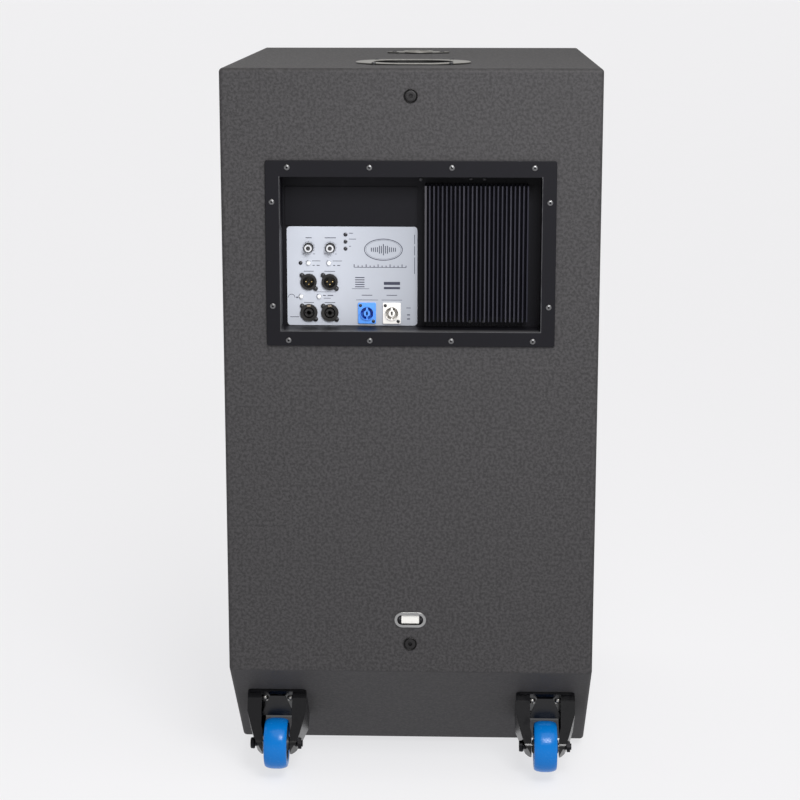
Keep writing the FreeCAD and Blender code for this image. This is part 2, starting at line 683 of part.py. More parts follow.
def grille_sheet():
    """A steel sheet with folded edges that fills the front rim."""
    wide, low, high = INNER - 1.5, LOW + PLY + 1.5, HIGH - PLY - 1.5
    outer = rounded(box(-wide, wide, FRONT, FRONT + 18.0, low, high), 3.0, Y_AXIS)
    inner = box(-wide + 1.5, wide - 1.5, FRONT + 1.5, FRONT + 20.0, low + 1.5, high - 1.5)
    return outer.cut(inner)


def grille_foam():
    """A sheet of open foam behind the grille."""
    wide, low, high = INNER - 4.0, LOW + PLY + 4.0, HIGH - PLY - 4.0
    return box(-wide, wide, FRONT + 2.0, FRONT + 7.0, low, high)


def grille_battens():
    """Four blocks on the baffle's rim that the grille is screwed to, and the screws."""
    blocks, screws = [], []
    for side in (-1, 1):
        for z in (LOW + 60.0, MIDDLE_Z - 70.0, MIDDLE_Z + 70.0, HIGH - 60.0):
            x = side * (INNER - 14.0)
            blocks.append(box(x - 9, x + 9, FRONT + 8.0, BAFFLE_Y, z - 9, z + 9))
            screws.append(pan_screw((x, FRONT, z), Vector(0, -1, 0), 4.6, GRILLE_SCREW_HEAD, 2.0, 20.0, 2.5))
    return blocks, screws


# ---------------------------------------------------------------- small fittings on the back
def rigging_screws():
    """Countersunk plug screws in cup washers, in the two rigging points on the back."""
    pieces = []
    for z in RIGGING_Z:
        centre = (0.0, REAR, LOW + z)
        cup = [(-8, 5.2), (-8, 8.2), (0, 8.2), (0, 10.4), (1.4, 10.4), (2.0, 9.6), (0.6, 8.6), (-3.0, 5.2)]
        washer = turned(cup, centre, Y_AXIS)
        head = [(-30, 0), (-30, 4.9), (-3.0, 4.9), (0.4, 8.3), (1.0, 8.0), (1.3, 6.0), (1.3, 0)]
        screw = turned(head, centre, Y_AXIS)
        key = hexagon(6.0, (0.0, REAR - 2.6, LOW + z), Y_AXIS, 6.0)
        pieces += [washer, screw.cut(key)]
    return pieces


def name_dish():
    """A small pressed dish with round ends, the blank name plate in it and two screws."""
    z = LOW + NAME_DISH_Z
    bezel = stadium(48.6, 24.6, REAR, REAR + 1.6, 0.0, z)
    bezel = bezel.makeFillet(0.9, edges_at_y(bezel, REAR + 1.6))
    bezel = joined(bezel, stadium(42.0, 18.0, REAR - 4.5, REAR, 0.0, z))
    dish = bezel.cut(stadium(40.0, 16.0, REAR - 3.0, REAR + 4.0, 0.0, z))
    plate = rounded(box(-13.5, 13.5, REAR - 3.0, REAR - 1.8, z - 6.5, z + 6.5), 1.0, Y_AXIS)
    screws = [pan_screw((x, REAR - 3.0, z), Y_AXIS, 2.2, 1.2, 1.2, 12.0, 1.4) for x in (-16.6, 16.6)]
    screws = Part.makeCompound(screws)
    return dish.cut(screws), plate, screws


def feet():
    """Four rubber feet, each with its screw."""
    rubber, screws = [], []
    for x in (-225.0, 225.0):
        for y in (FRONT + 60.0, REAR - BEVEL - 55.0):
            side = [(0, 5.5), (0, 18), (2, 20), (FOOT_HEIGHT, 22), (FOOT_HEIGHT, 2.6), (7, 2.6), (7, 5.5)]
            rubber.append(turned(side, (x, y, 0.0), Z_AXIS))
            screws.append(pan_screw((x, y, 7.0), Vector(0, 0, -1), 5.0, 3.0, 2.6, 20.0, 3.0))
    return rubber, Part.makeCompound(screws)


# ---------------------------------------------------------------- casters
def caster_place(shape, side):
    """Moves a piece from the caster's own frame to its place on the bevel.

    In that frame x is along the axle, y is down the slope and z stands out of the bevel.
    """
    middle_y = REAR - CASTER_FROM_REAR
    middle_z = LOW + BEVEL - CASTER_FROM_REAR
    return placed(shape, X_AXIS, -135, (side * CASTER_X, middle_y, middle_z))


def leg_profile(start, half, end_radius, low, knee):
    """A leg seen along the axle: straight beside the plate, then narrowing to a round end."""
    sides = [(-half, low), (half, low), (half, knee), (end_radius, 73), (-end_radius, 73), (-half, knee)]
    taper = prism([(start, y, z) for y, z in sides], Vector(55, 0, 0))
    return joined(taper, rod(end_radius, (start, 0, AXLE_OUT + 1.0), X_AXIS, 55.0))


def caster_leg(side):
    """One pressed leg: a channel that starts as wide as the plate and narrows to the hub."""
    outline = [(24, 0), (46, 0), (46, 31), (37, 62), (31, 76), (22, 87), (21.6, 87), (21.6, 58), (24, 50)]
    inside = [(10, -1), (43, -1), (43, 30.5), (34, 61), (28, 74.5), (21, 83), (10, 83)]
    leg = prism([(side * x, -45, z) for x, z in outline], Vector(0, 90, 0))
    hollow = prism([(side * x, -45, z) for x, z in inside], Vector(0, 90, 0))
    start = 5.0 if side > 0 else -60.0
    shell = leg.common(leg_profile(start, 43.0, 16.0, 0.0, 12.0))
    space = hollow.common(leg_profile(start, 40.0, 12.5, -1.0, 11.0))
    boss = rod(11.0, (21.6 if side > 0 else -31.6, 0, AXLE_OUT), X_AXIS, 10.0)
    return joined(shell.cut(space), boss.common(leg))


def caster_crown():
    """The sloping bridge between the legs, narrow at the plate, with two slots."""
    low, high = Vector(0, -34, 3.5), Vector(0, -11, 26.5)
    along = high - low
    normal = Vector(0, -along.z, along.y).normalize()
    corners = [low + X_AXIS * -12, low + X_AXIS * 12, high + X_AXIS * 26, high + X_AXIS * -26]
    sheet = Part.Face(Part.makePolygon(corners + [corners[0]])).extrude(normal * 3.0)
    slots = []
    for share, half in ((0.52, 9.0), (0.80, 11.0)):
        middle = low + along * share
        slot = box(-half, half, -6, 6, -1.6, 1.6)
        slot.rotate(Vector(0, 0, 0), X_AXIS, 45)
        slot.translate(middle)
        slots.append(slot)
    return sheet.cut(slots)


def caster_fork(bolts):
    """Plate, two legs and the crown of one fixed caster."""
    plate = rounded(box(-46, 46, -50, 50, 0, 4), 7.0, Z_AXIS)
    return joined(plate, caster_leg(-1), caster_leg(1), caster_crown()).cut(bolts)


def caster_bolts():
    """Four bolts through the plate, and the axle bolt with its nut."""
    bolts = []
    for x in (-20.5, 20.5):
        for y in (-25.0, 25.0):
            bolts.append(pan_screw((x, y, 4.0), Z_AXIS, 6.0, 4.0, 3.0, 26.0, 4.0))
    head_profile = [(0, 0), (0, 8.2), (1.2, 9.0), (5.5, 8.6), (6.5, 7.6), (6.5, 0)]
    head = turned(head_profile, (34.5, 0, AXLE_OUT), X_AXIS)
    head = head.cut(hexagon(6.0, (37.5, 0, AXLE_OUT), X_AXIS, 8.0))
    axle = joined(head, rod(AXLE_RADIUS, (-41.0, 0, AXLE_OUT), X_AXIS, 76.0))
    nut = hexagon(16.0, (-39.0, 0, AXLE_OUT), X_AXIS, 5.0)
    nut = nut.cut(rod(AXLE_RADIUS, (-45, 0, AXLE_OUT), X_AXIS, 20))
    return bolts, [axle, nut]


def tyre():
    """A solid tyre with rounded shoulders."""
    half = TYRE_WIDE / 2
    r = WHEEL_RADIUS
    profile = [(-half + 1.5, 29), (-half, 32), (-half, r - 7), (-half + 2.2, r - 3.4), (-half + 6, r - 1.1)]
    profile += [(-half + 11, r - 0.2), (0, r)]
    profile += [(-along, radius) for along, radius in profile[-2::-1]]
    return turned(profile, (0, 0, AXLE_OUT), X_AXIS)


def hub():
    """A moulded hub with dished sides and a long centre boss."""
    inner = AXLE_RADIUS + RUNNING_FIT
    half = [(-20.6, inner), (-20.6, 9.5), (-19.0, 11.0), (-9.0, 12.0)]
    half += [(-8.0, 24.0), (-16.0, 26.0), (-16.3, 29.0)]
    profile = half + [(-along, radius) for along, radius in half[::-1]]
    wheel = turned(profile, (0, 0, AXLE_OUT), X_AXIS)
    holes = []
    for turn in range(6):
        angle = turn * math.pi / 3.0
        holes.append(rod(3.6, (-30, 18.0 * math.sin(angle), AXLE_OUT + 18.0 * math.cos(angle)), X_AXIS, 60.0))
    return wheel.cut(holes)


# ---------------------------------------------------------------- build
def build_casters():
    """Both casters; returns their plate bolts, which also go through the bevel board."""
    plate_bolts, axle_sets = caster_bolts()
    fork = caster_fork(plate_bolts + axle_sets)
    in_board, on_axles = [], []
    for name, side in (("left", 1), ("right", -1)):
        save("caster_fork_" + name, caster_place(fork, side))
        save("tyre_" + name, caster_place(tyre(), side))
        save("wheel_hub_" + name, caster_place(hub(), side))
        in_board += [caster_place(bolt, side) for bolt in plate_bolts]
        on_axles += [caster_place(bolt, side) for bolt in axle_sets]
    save("caster_bolts", *(in_board + on_axles))
    return Part.makeCompound(in_board)


def build_amplifier():
    """The amplifier; returns the screws that go into the back board."""
    screws = frame_screw_group()
    save("amplifier_frame_screws", screws)
    save("amplifier_gasket", amplifier_gasket(screws))
    save("heatsink", heatsink())
    save("amplifier_housing", amplifier_housing())
    save("input_board", *input_board())
    save("power_board", *power_board())
    save("transformer", transformer())

    save("blank_plate", blank_plate())
    small = sink_screws() + socket_screws()
    save("panel_screws", *small)
    small = Part.makeCompound(small)
    save("amplifier_frame", amplifier_frame(screws).cut(small))

    groups = [
        (LINK_SOCKETS, SOCKET_BODY_RADIUS),
        (INPUT_SOCKETS, SOCKET_BODY_RADIUS + 0.8),
        (MAINS.values(), MAINS_RADIUS),
        (KNOBS.values(), SHAFT_RADIUS + 2.0 * CLEAR),
        (BUTTONS.values(), BUTTON_RADIUS + CLEAR),
        (LIGHTS, LIGHT_RADIUS),
    ]
    holes = []
    for places, radius in groups:
        holes += [rod(radius, (x, TRAY_FLOOR_Y - 5.0, LOW + z), Y_AXIS, 20.0) for x, z in places]
    save("control_plate", control_plate_blank().cut(holes).cut(small))
    save("status_lights", *[status_light(x, LOW + z) for x, z in LIGHTS])

    links = [link_socket(x, LOW + z) for x, z in LINK_SOCKETS]
    save("link_sockets", *[body.cut(small) for body, pins in links])
    save("socket_pins", *[pins for body, pins in links])
    inputs = [input_socket(x, LOW + z) for x, z in INPUT_SOCKETS]
    save("input_sockets", *[piece.cut(small) for pair in inputs for piece in pair])
    for name, (x, z) in zip(("latch_left", "latch_right"), INPUT_SOCKETS):
        save(name, latch_tab(x, LOW + z))
    for name, (x, z) in MAINS.items():
        save(name, mains_socket(x, LOW + z).cut(small))
    for name, (x, z) in KNOBS.items():
        save(name, knob(x, LOW + z))
    for name, (x, z) in BUTTONS.items():
        save(name, push_button(x, LOW + z))
    return screws


def build_front():
    """Woofers, baffle, port and grille; returns the grille's screws."""
    screws = woofer_screws()
    save("woofer_screws", screws)
    blocks, grille_fixings = grille_battens()
    fixings = Part.makeCompound(grille_fixings)
    save("grille", grille_sheet().cut(fixings))
    save("grille_foam", grille_foam().cut(fixings))
    save("grille_blocks", *[block.cut(fixings).cut(screws) for block in blocks])
    save("front_baffle", baffle(screws))
    save("port_shelves", *port_shelves())
    save("woofer_baskets", *[basket(z).cut(screws) for z in WOOFER_Z])
    save("woofer_magnets", *[magnet(z) for z in WOOFER_Z])
    for name, z in zip(("lower", "upper"), WOOFER_Z):
        save("cone_" + name, cone(z))
        save("suspension_" + name, *suspension(z))
    return fixings


def build_cabinet(caster_fixings, frame_screws, grille_fixings):
    """The boards and what is let into them."""
    whole = envelope()
    top, sides = handles()
    save("top_handle", top[0])
    save("side_handles", *[side[0] for side in sides])
    save("handle_bars", top[1], *[side[1] for side in sides])
    handle_fixings = [top[2]] + [side[2] for side in sides]

    socket, socket_fixings = pole_socket()
    save("pole_socket", socket)
    rigging = rigging_screws()
    save("rigging_screws", *rigging)
    dish, plate, dish_screws = name_dish()
    save("name_dish", dish)
    save("name_plate", plate)
    rubber, foot_screws = feet()
    save("rubber_feet", *rubber)
    save("cabinet_screws", socket_fixings, dish_screws, foot_screws, grille_fixings, *handle_fixings)

    save("bottom_panel", long_board(0).common(whole).cut(foot_screws))
    save("bevel_panel", long_board(1).common(whole).cut(caster_fixings))

    wide = RECESS_HALF_WIDTH + TRAY_WALL + 1.0
    window = box(-wide, wide, REAR - 60, REAR + 5, LOW + RECESS_LOW - 3.0, LOW + RECESS_HIGH + 3.0)
    dish_hole = stadium(42.0, 18.0, REAR - 4.5, REAR + 1, 0.0, LOW + NAME_DISH_Z)
    back_cuts = [window, dish_hole, dish_screws, frame_screws]
    for z in RIGGING_Z:
        back_cuts.append(rod(8.2, (0, REAR - 8, LOW + z), Y_AXIS, 20))
        back_cuts.append(rod(5.2, (0, REAR - 40, LOW + z), Y_AXIS, 50))
    save("back_panel", long_board(2).common(whole).cut(back_cuts))

    pole_hole = rod(POLE_RADIUS + 3.0, (0, POLE_Y, HIGH - 60), Z_AXIS, 100)
    save("top_panel", long_board(3).common(whole).cut([top[3], top[2], pole_hole, socket_fixings]))
    for name, side, kit in (("left", 1, sides[1]), ("right", -1, sides[0])):
        save("side_panel_" + name, side_board(side).common(whole).cut([kit[3], kit[2]]))

    save("brace", brace())


caster_fixings = build_casters()
frame_screws = build_amplifier()
grille_fixings = build_front()
build_cabinet(caster_fixings, frame_screws, grille_fixings)
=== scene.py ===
"""Looks of a powered twin subwoofer on two tilt wheels, laid out as an add-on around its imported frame.

Metres, in the frame's own axes: +Z up, the amplifier panel faces +Y, the grille faces -Y.
"""

import math

import bpy
import numpy as np
from mathutils import Matrix, Vector


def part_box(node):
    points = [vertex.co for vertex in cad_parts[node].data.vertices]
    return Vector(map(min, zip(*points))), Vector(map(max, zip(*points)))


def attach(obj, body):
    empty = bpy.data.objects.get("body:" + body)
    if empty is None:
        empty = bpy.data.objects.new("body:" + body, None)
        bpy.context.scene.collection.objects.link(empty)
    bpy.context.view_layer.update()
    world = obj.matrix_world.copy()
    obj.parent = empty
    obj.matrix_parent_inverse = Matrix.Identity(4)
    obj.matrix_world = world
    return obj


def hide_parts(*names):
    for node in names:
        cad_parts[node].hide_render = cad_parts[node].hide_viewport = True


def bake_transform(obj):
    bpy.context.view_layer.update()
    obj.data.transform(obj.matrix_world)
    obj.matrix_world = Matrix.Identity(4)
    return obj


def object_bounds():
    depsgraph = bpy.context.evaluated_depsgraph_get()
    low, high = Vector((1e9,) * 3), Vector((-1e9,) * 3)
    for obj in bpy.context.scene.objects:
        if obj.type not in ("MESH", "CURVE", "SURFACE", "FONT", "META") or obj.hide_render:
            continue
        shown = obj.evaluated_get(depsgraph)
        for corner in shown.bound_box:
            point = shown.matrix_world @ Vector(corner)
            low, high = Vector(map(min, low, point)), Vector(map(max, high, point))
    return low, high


bl_info = {
    "name": "Powered Subwoofer Looks",
    "version": (1, 0, 0),
    "blender": (4, 5, 0),
    "location": "3D View > Sidebar > Subwoofer",
    "description": "Finishes, grille, foam, printing, tyres and studio for a powered subwoofer",
    "category": "Object",
}

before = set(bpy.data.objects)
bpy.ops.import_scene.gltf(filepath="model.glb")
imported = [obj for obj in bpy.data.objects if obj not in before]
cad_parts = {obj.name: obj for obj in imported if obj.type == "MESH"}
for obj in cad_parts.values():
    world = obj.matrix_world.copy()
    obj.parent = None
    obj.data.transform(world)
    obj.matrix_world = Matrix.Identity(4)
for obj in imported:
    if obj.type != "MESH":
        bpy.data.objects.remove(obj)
CAD_LOW, CAD_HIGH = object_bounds()
MM = 0.001


def middle(node):
    """The middle of a frame node's box."""
    low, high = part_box(node)
    return (low + high) / 2.0


# ---------------------------------------------------------------- sizes and colours a user would change
class CabinetSettings(bpy.types.PropertyGroup):
    """The textured paint of the boards."""
    colour: bpy.props.FloatVectorProperty(
        name="Paint colour", description="Colour of the textured paint",
        subtype="COLOR", size=4, min=0.0, max=1.0, default=(0.0435, 0.0420, 0.0440, 1.0))
    grain: bpy.props.FloatProperty(
        name="Grain", description="Size of one pebble of the paint's texture",
        unit="LENGTH", default=4.2 * MM, min=0.2 * MM, precision=4)
    wear: bpy.props.FloatProperty(
        name="Edge wear", description="How much of the edges is scuffed",
        subtype="FACTOR", default=0.15, min=0.0, max=1.0)


class GrilleSettings(bpy.types.PropertyGroup):
    """The perforated front grille and the foam behind it."""
    pitch: bpy.props.FloatProperty(
        name="Hole pitch", description="Distance between the middles of two six-sided holes",
        unit="LENGTH", default=11.4 * MM, min=4 * MM, precision=4)
    web: bpy.props.FloatProperty(
        name="Web", description="Width of the steel left between two holes",
        unit="LENGTH", default=1.9 * MM, min=0.3 * MM, precision=4)
    sheet: bpy.props.FloatProperty(
        name="Sheet", description="Thickness of the steel sheet",
        unit="LENGTH", default=1.3 * MM, min=0.3 * MM, precision=4)
    margin: bpy.props.FloatProperty(
        name="Margin", description="Least width of the border without holes, which takes the screws",
        unit="LENGTH", default=19.5 * MM, min=5 * MM, precision=4)
    fold: bpy.props.FloatProperty(
        name="Fold radius", description="Radius of the folded edge",
        unit="LENGTH", default=2.6 * MM, min=0.5 * MM, precision=4)
    foam: bpy.props.FloatProperty(
        name="Foam", description="Thickness of the foam behind the grille",
        unit="LENGTH", default=4.4 * MM, min=1 * MM, precision=4)


class PanelSettings(bpy.types.PropertyGroup):
    """The control plate and its printing."""
    plate: bpy.props.FloatVectorProperty(
        name="Plate colour", description="Colour of the control plate",
        subtype="COLOR", size=4, min=0.0, max=1.0, default=(0.53, 0.56, 0.63, 1.0))
    ink: bpy.props.FloatVectorProperty(
        name="Ink colour", description="Colour of the printed rules and scales",
        subtype="COLOR", size=4, min=0.0, max=1.0, default=(0.030, 0.032, 0.050, 1.0))
    ink_depth: bpy.props.FloatProperty(
        name="Ink thickness", description="How far the printing stands off the plate",
        unit="LENGTH", default=0.07 * MM, min=0.01 * MM, precision=5)


class WheelSettings(bpy.types.PropertyGroup):
    """The tyres of the two tilt wheels."""
    colour: bpy.props.FloatVectorProperty(
        name="Tyre colour", description="Colour of the elastic tyre",
        subtype="COLOR", size=4, min=0.0, max=1.0, default=(0.001, 0.155, 0.52, 1.0))
    crown: bpy.props.FloatProperty(
        name="Crown", description="How much lower the tread is at its shoulders than in its middle",
        unit="LENGTH", default=2.2 * MM, min=0.0, precision=4)


class StageSettings(bpy.types.PropertyGroup):
    """Floor, lights and camera."""
    floor: bpy.props.FloatVectorProperty(
        name="Floor colour", description="Colour of the plain, faintly self-lit floor",
        subtype="COLOR", size=4, min=0.0, max=1.0, default=(0.20, 0.20, 0.204, 1.0))
    glow: bpy.props.FloatProperty(
        name="Floor glow", description="Strength of the light that the floor gives off",
        default=0.70, min=0.0)
    key: bpy.props.FloatProperty(
        name="Key light", description="Strength of the soft light from above", default=1.1, min=0.0)
    fill: bpy.props.FloatProperty(
        name="Fill light", description="Strength of the soft light from the front", default=0.6, min=0.0)
    panel: bpy.props.FloatProperty(
        name="Panel light", description="Power of the square light behind the object, in watts",
        default=13.0, min=0.0)
    lens: bpy.props.FloatProperty(
        name="Lens", description="Focal length of the camera in millimetres", default=90.0, min=10.0)
    rise: bpy.props.FloatProperty(
        name="Frame rise", description="How far the picture is moved up, as a share of its width",
        default=-0.0375)


# ---------------------------------------------------------------- shader maths
class Value:
    """A node's output used as a number: every operator adds one Math node and gives its output."""

    def __init__(self, finish, socket):
        self.finish = finish
        self.socket = socket

    def math(self, operation, *values):
        return self.finish.node("ShaderNodeMath", {"operation": operation}, dict(enumerate(values)))

    def __add__(self, other):
        return self.math("ADD", self, other)

    def __radd__(self, other):
        return self.math("ADD", other, self)

    def __sub__(self, other):
        return self.math("SUBTRACT", self, other)

    def __rsub__(self, other):
        return self.math("SUBTRACT", other, self)

    def __mul__(self, other):
        return self.math("MULTIPLY", self, other)

    def __rmul__(self, other):
        return self.math("MULTIPLY", other, self)

    def __abs__(self):
        return self.math("ABSOLUTE", self)

    def least(self, other):
        return self.math("MINIMUM", self, other)

    def most(self, other):
        return self.math("MAXIMUM", self, other)

    def sine(self):
        return self.math("SINE", self)

    def root(self):
        return self.math("SQRT", self)

    def rising(self, low, high):
        """0 below low, 1 above high and a smooth step between; with low above high it falls."""
        span = {"Value": self, "From Min": low, "From Max": high}
        return self.finish.node("ShaderNodeMapRange", {"interpolation_type": "SMOOTHSTEP"}, span)


class Finish:
    """One material being made: a Principled shader and the nodes that feed it."""

    def __init__(self, name, **constants):
        self.material = bpy.data.materials.new(name)
        self.material.use_nodes = True
        self.tree = self.material.node_tree
        self.shader = self.tree.nodes["Principled BSDF"]
        self.place = self.node("ShaderNodeTexCoord", output="Object")
        self.feed(**constants)

    def node(self, kind, settings=None, inputs=None, output=0):
        """Adds a node, applies its settings, fills or links its inputs and returns one output."""
        made = self.tree.nodes.new(kind)
        for name, setting in (settings or {}).items():
            setattr(made, name, setting)
        for key, given in (inputs or {}).items():
            self.join(made.inputs[key], given)
        return Value(self, made.outputs[output])

    def join(self, socket, given):
        """Links a value to a socket, or sets the socket's own number."""
        if isinstance(given, Value):
            self.tree.links.new(given.socket, socket)
        else:
            socket.default_value = given

    def feed(self, **inputs):
        """Fills the shader's inputs: base_color=..., roughness=... and so on."""
        for name, given in inputs.items():
            words = [w.upper() if w == "ior" else w.capitalize() for w in name.split("_")]
            self.join(self.shader.inputs[" ".join(words)], given)

    def along(self, axis):
        """One coordinate of the place on the piece, in metres."""
        return self.node("ShaderNodeSeparateXYZ", inputs={0: self.place}, output=axis)

    def stretched(self, scale):
        """The place with each axis scaled on its own."""
        return self.node("ShaderNodeMapping", inputs={"Vector": self.place, "Scale": scale})

    def noise(self, size, detail=2.0, rough=0.5, place=None):
        """Cloudy noise whose clouds are about this long, in metres."""
        inputs = {"Vector": place or self.place, "Scale": 1.0 / size, "Detail": detail, "Roughness": rough}
        return self.node("ShaderNodeTexNoise", inputs=inputs)

    def cells(self, size):
        """Distance to the nearest of many scattered points, this far apart."""
        return self.node("ShaderNodeTexVoronoi", inputs={"Vector": self.place, "Scale": 1.0 / size})

    def mix(self, share, first, second):
        """A colour between two colours."""
        return self.node("ShaderNodeMix", {"data_type": "RGBA"}, {0: share, 6: first, 7: second}, 2)

    def bump(self, height, depth, strength=1.0):
        """Turns a height from 0 to 1 into relief of this depth, on top of any earlier relief."""
        inputs = {"Height": height, "Distance": depth, "Strength": strength}
        earlier = self.shader.inputs["Normal"]
        if earlier.is_linked:
            inputs["Normal"] = Value(self, earlier.links[0].from_socket)
        self.feed(normal=self.node("ShaderNodeBump", inputs=inputs))


def shade(colour, factor):
    """A colour made lighter or darker."""
    return tuple(min(1.0, part * factor) for part in colour[:3]) + (1.0,)


def dusty(finish, colour):
    """Faint dust and handling marks over a colour: cloudy patches broken up by finer noise."""
    patches = finish.noise(30 * MM, 4.0, 0.6).rising(0.5, 0.75)
    return finish.mix(patches * 0.05, colour, (0.30, 0.29, 0.27, 1.0))


def grained(name, colour, roughness, size, depth, spread=0.15, **constants):
    """A finish whose colour and relief follow a fine even grain, and whose gloss drifts slowly."""
    finish = Finish(name, **constants)
    grain = finish.noise(size, 3.0, 0.6)
    tone = finish.mix(grain, shade(colour, 1.0 - spread), shade(colour, 1.0 + spread))
    finish.feed(base_color=dusty(finish, tone))
    finish.feed(roughness=finish.noise(18 * MM, 3.0) * 0.16 + (roughness - 0.08))
    finish.bump(grain, depth)
    return finish


# ---------------------------------------------------------------- finishes of wood and paint
def textured_paint(name, settings, relief=1.0):
    """Rolled structure paint: pebbles, a fine speckle with painted shade in its hollows and painted
    highlight on its crests, soft blotches, painted shade darkening every edge, and scuffed edges.
    """
    low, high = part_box("side_panel_left")
    front, back = low.y, high.y
    base, top = low.z, high.z
    finish = Finish(name, specular_ior_level=0.24)
    pebbles = finish.cells(settings.grain)
    speckle = finish.noise(settings.grain, 2.0, 0.6).rising(0.32, 0.68)
    blotches = finish.noise(90 * MM, 4.0, 0.55)
    x = abs(finish.along("X"))
    y, z = finish.along("Y"), finish.along("Z")
    band = 5 * MM
    near_x = (high.x - x).rising(band, 0.0)
    near_y = (y - front).least(back - y).rising(band, 0.0)
    near_z = (z - base).least(top - z).rising(band, 0.0)
    edges = (near_x * near_y).most(near_y * near_z).most(near_x * near_z)
    scuffs = edges * finish.noise(14 * MM, 5.0, 0.7).rising(0.52, 0.62) * settings.wear
    scratches = finish.noise(60 * MM, 6.0, 0.75, finish.stretched((1.0, 1.0, 4.0))).rising(0.70, 0.74)
    # Painted shade and highlight: the speckle, which also makes the relief, is painted darker in its
    # hollows and lighter on its crests.
    shaded_hollow = shade(settings.colour, 1.0 - 0.34 * relief)
    lit_crest = shade(settings.colour, 1.0 + 0.38 * relief)
    paint = finish.mix(speckle, shaded_hollow, lit_crest)
    paint = finish.mix(blotches * 0.3, paint, shade(settings.colour, 0.90))
    paint = finish.mix(scratches * 0.12, paint, shade(settings.colour, 2.0))
    # Painted shade: a narrow band along every edge of the boards is darkened, where the rounded edges look
    # dark.
    paint = finish.mix(edges * 0.55, paint, shade(settings.colour, 0.45))
    paint = finish.mix(scuffs, paint, shade(settings.colour, 2.6))
    finish.feed(base_color=paint, roughness=0.54 + speckle * 0.2)
    finish.bump(pebbles, 0.30 * relief * MM, 0.7)
    finish.bump(speckle, 0.16 * relief * MM, 0.6)
    return finish.material


def birch(name, colour):
    """Plywood: long grain along the board, crossed by fine darker lines as of its plies."""
    finish = Finish(name, specular_ior_level=0.3)
    grain = finish.noise(5 * MM, 5.0, 0.65, finish.stretched((0.12, 1.0, 1.0)))
    plies = ((finish.along("Y") + finish.along("Z")) * (math.tau / (2.8 * MM))).sine().rising(0.2, 0.9)
    wood = finish.mix(grain, shade(colour, 0.7), shade(colour, 1.2))
    finish.feed(base_color=finish.mix(plies * 0.25, wood, shade(colour, 0.45)))
    finish.feed(roughness=0.55 + grain * 0.25)
    finish.bump(grain, 0.15 * MM)
    return finish.material


def powder_coat(name, colour, roughness, gloss):
    """Fine orange peel on sheet metal, with rubbed spots."""
    finish = Finish(name, specular_ior_level=gloss)
    peel = finish.noise(0.9 * MM, 2.0)
    rubbed = finish.noise(22 * MM, 5.0, 0.7).rising(0.55, 0.72)
    tone = finish.mix(peel, shade(colour, 0.85), shade(colour, 1.15))
    tone = finish.mix(rubbed * 0.12, tone, shade(colour, 3.0))
    finish.feed(base_color=tone, roughness=rubbed * -0.10 + (roughness + 0.05))
    finish.bump(peel, 0.05 * MM, 0.7)
    return finish


def amplifier_coat():
    """Black powder coat, with painted highlight on the lip of the recess, at its sides and along its lower
    edge.
    """
    finish = powder_coat("frame_black", (0.0070, 0.0068, 0.0092, 1.0), 0.42, 0.14)
    low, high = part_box("amplifier_frame")
    flange_beside, flange_below, flange_above = 21.0 * MM, 22.1 * MM, 24.1 * MM
    half = (high.x - low.x) / 2.0 - flange_beside
    bottom, top = low.z + flange_below, high.z - flange_above
    x, y, z = abs(finish.along("X")), finish.along("Y"), finish.along("Z")
    beside = abs(x - half - 0.2 * MM).rising(0.8 * MM, 0.4 * MM)
    below = abs(z - bottom + 0.2 * MM).rising(0.8 * MM, 0.4 * MM)
    tall = (z - bottom + 1.0 * MM).least(top - z + 1.0 * MM).rising(0.0, 0.5 * MM)
    wide = (half + 1.0 * MM - x).rising(0.0, 0.5 * MM)
    lip = (high.y - y).rising(22.0 * MM, 2.0 * MM) * finish.noise(30 * MM, 3.0).rising(0.1, 0.5)
    # Painted highlight: pale strips on the recess's lip, at its sides and along its lower edge, where they
    # catch the light.
    lip_highlight = (beside * tall).most(below * wide) * lip
    colour = Value(finish, finish.shader.inputs["Base Color"].links[0].from_socket)
    finish.feed(base_color=finish.mix(lip_highlight * 0.8, colour, (0.085, 0.085, 0.090, 1.0)))
    return finish.material


def control_plate_paint(settings):
    """Satin silver-blue paint with a fine metallic fleck, finger marks and painted shade towards its low-X
    end.
    """
    finish = Finish("plate_silver", specular_ior_level=0.4, coat_weight=0.15, coat_roughness=0.3)
    fleck = finish.noise(0.5 * MM, 2.0, 0.7)
    marks = finish.noise(26 * MM, 5.0, 0.65).rising(0.5, 0.8)
    low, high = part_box("control_plate")
    across = (finish.along("X") - low.x).rising(0.0, high.x - low.x)
    tone = finish.mix(fleck, shade(settings.plate, 0.96), shade(settings.plate, 1.04))
    # Painted shade: the plate grows darker towards its low-X end, as the light falls off across it.
    tone = finish.mix(across, shade(settings.plate, 0.70), tone)
    tone = finish.mix(marks * 0.08, tone, (0.35, 0.34, 0.32, 1.0))
    finish.feed(base_color=tone, roughness=0.40 + marks * 0.14)
    finish.bump(fleck, 0.02 * MM, 0.4)
    return finish.material


def enamel():
    """White enamel of the blank name plate."""
    finish = grained("name_white", (0.78, 0.77, 0.74, 1.0), 0.30, 1.2 * MM, 0.01 * MM, 0.03)
    return finish.material


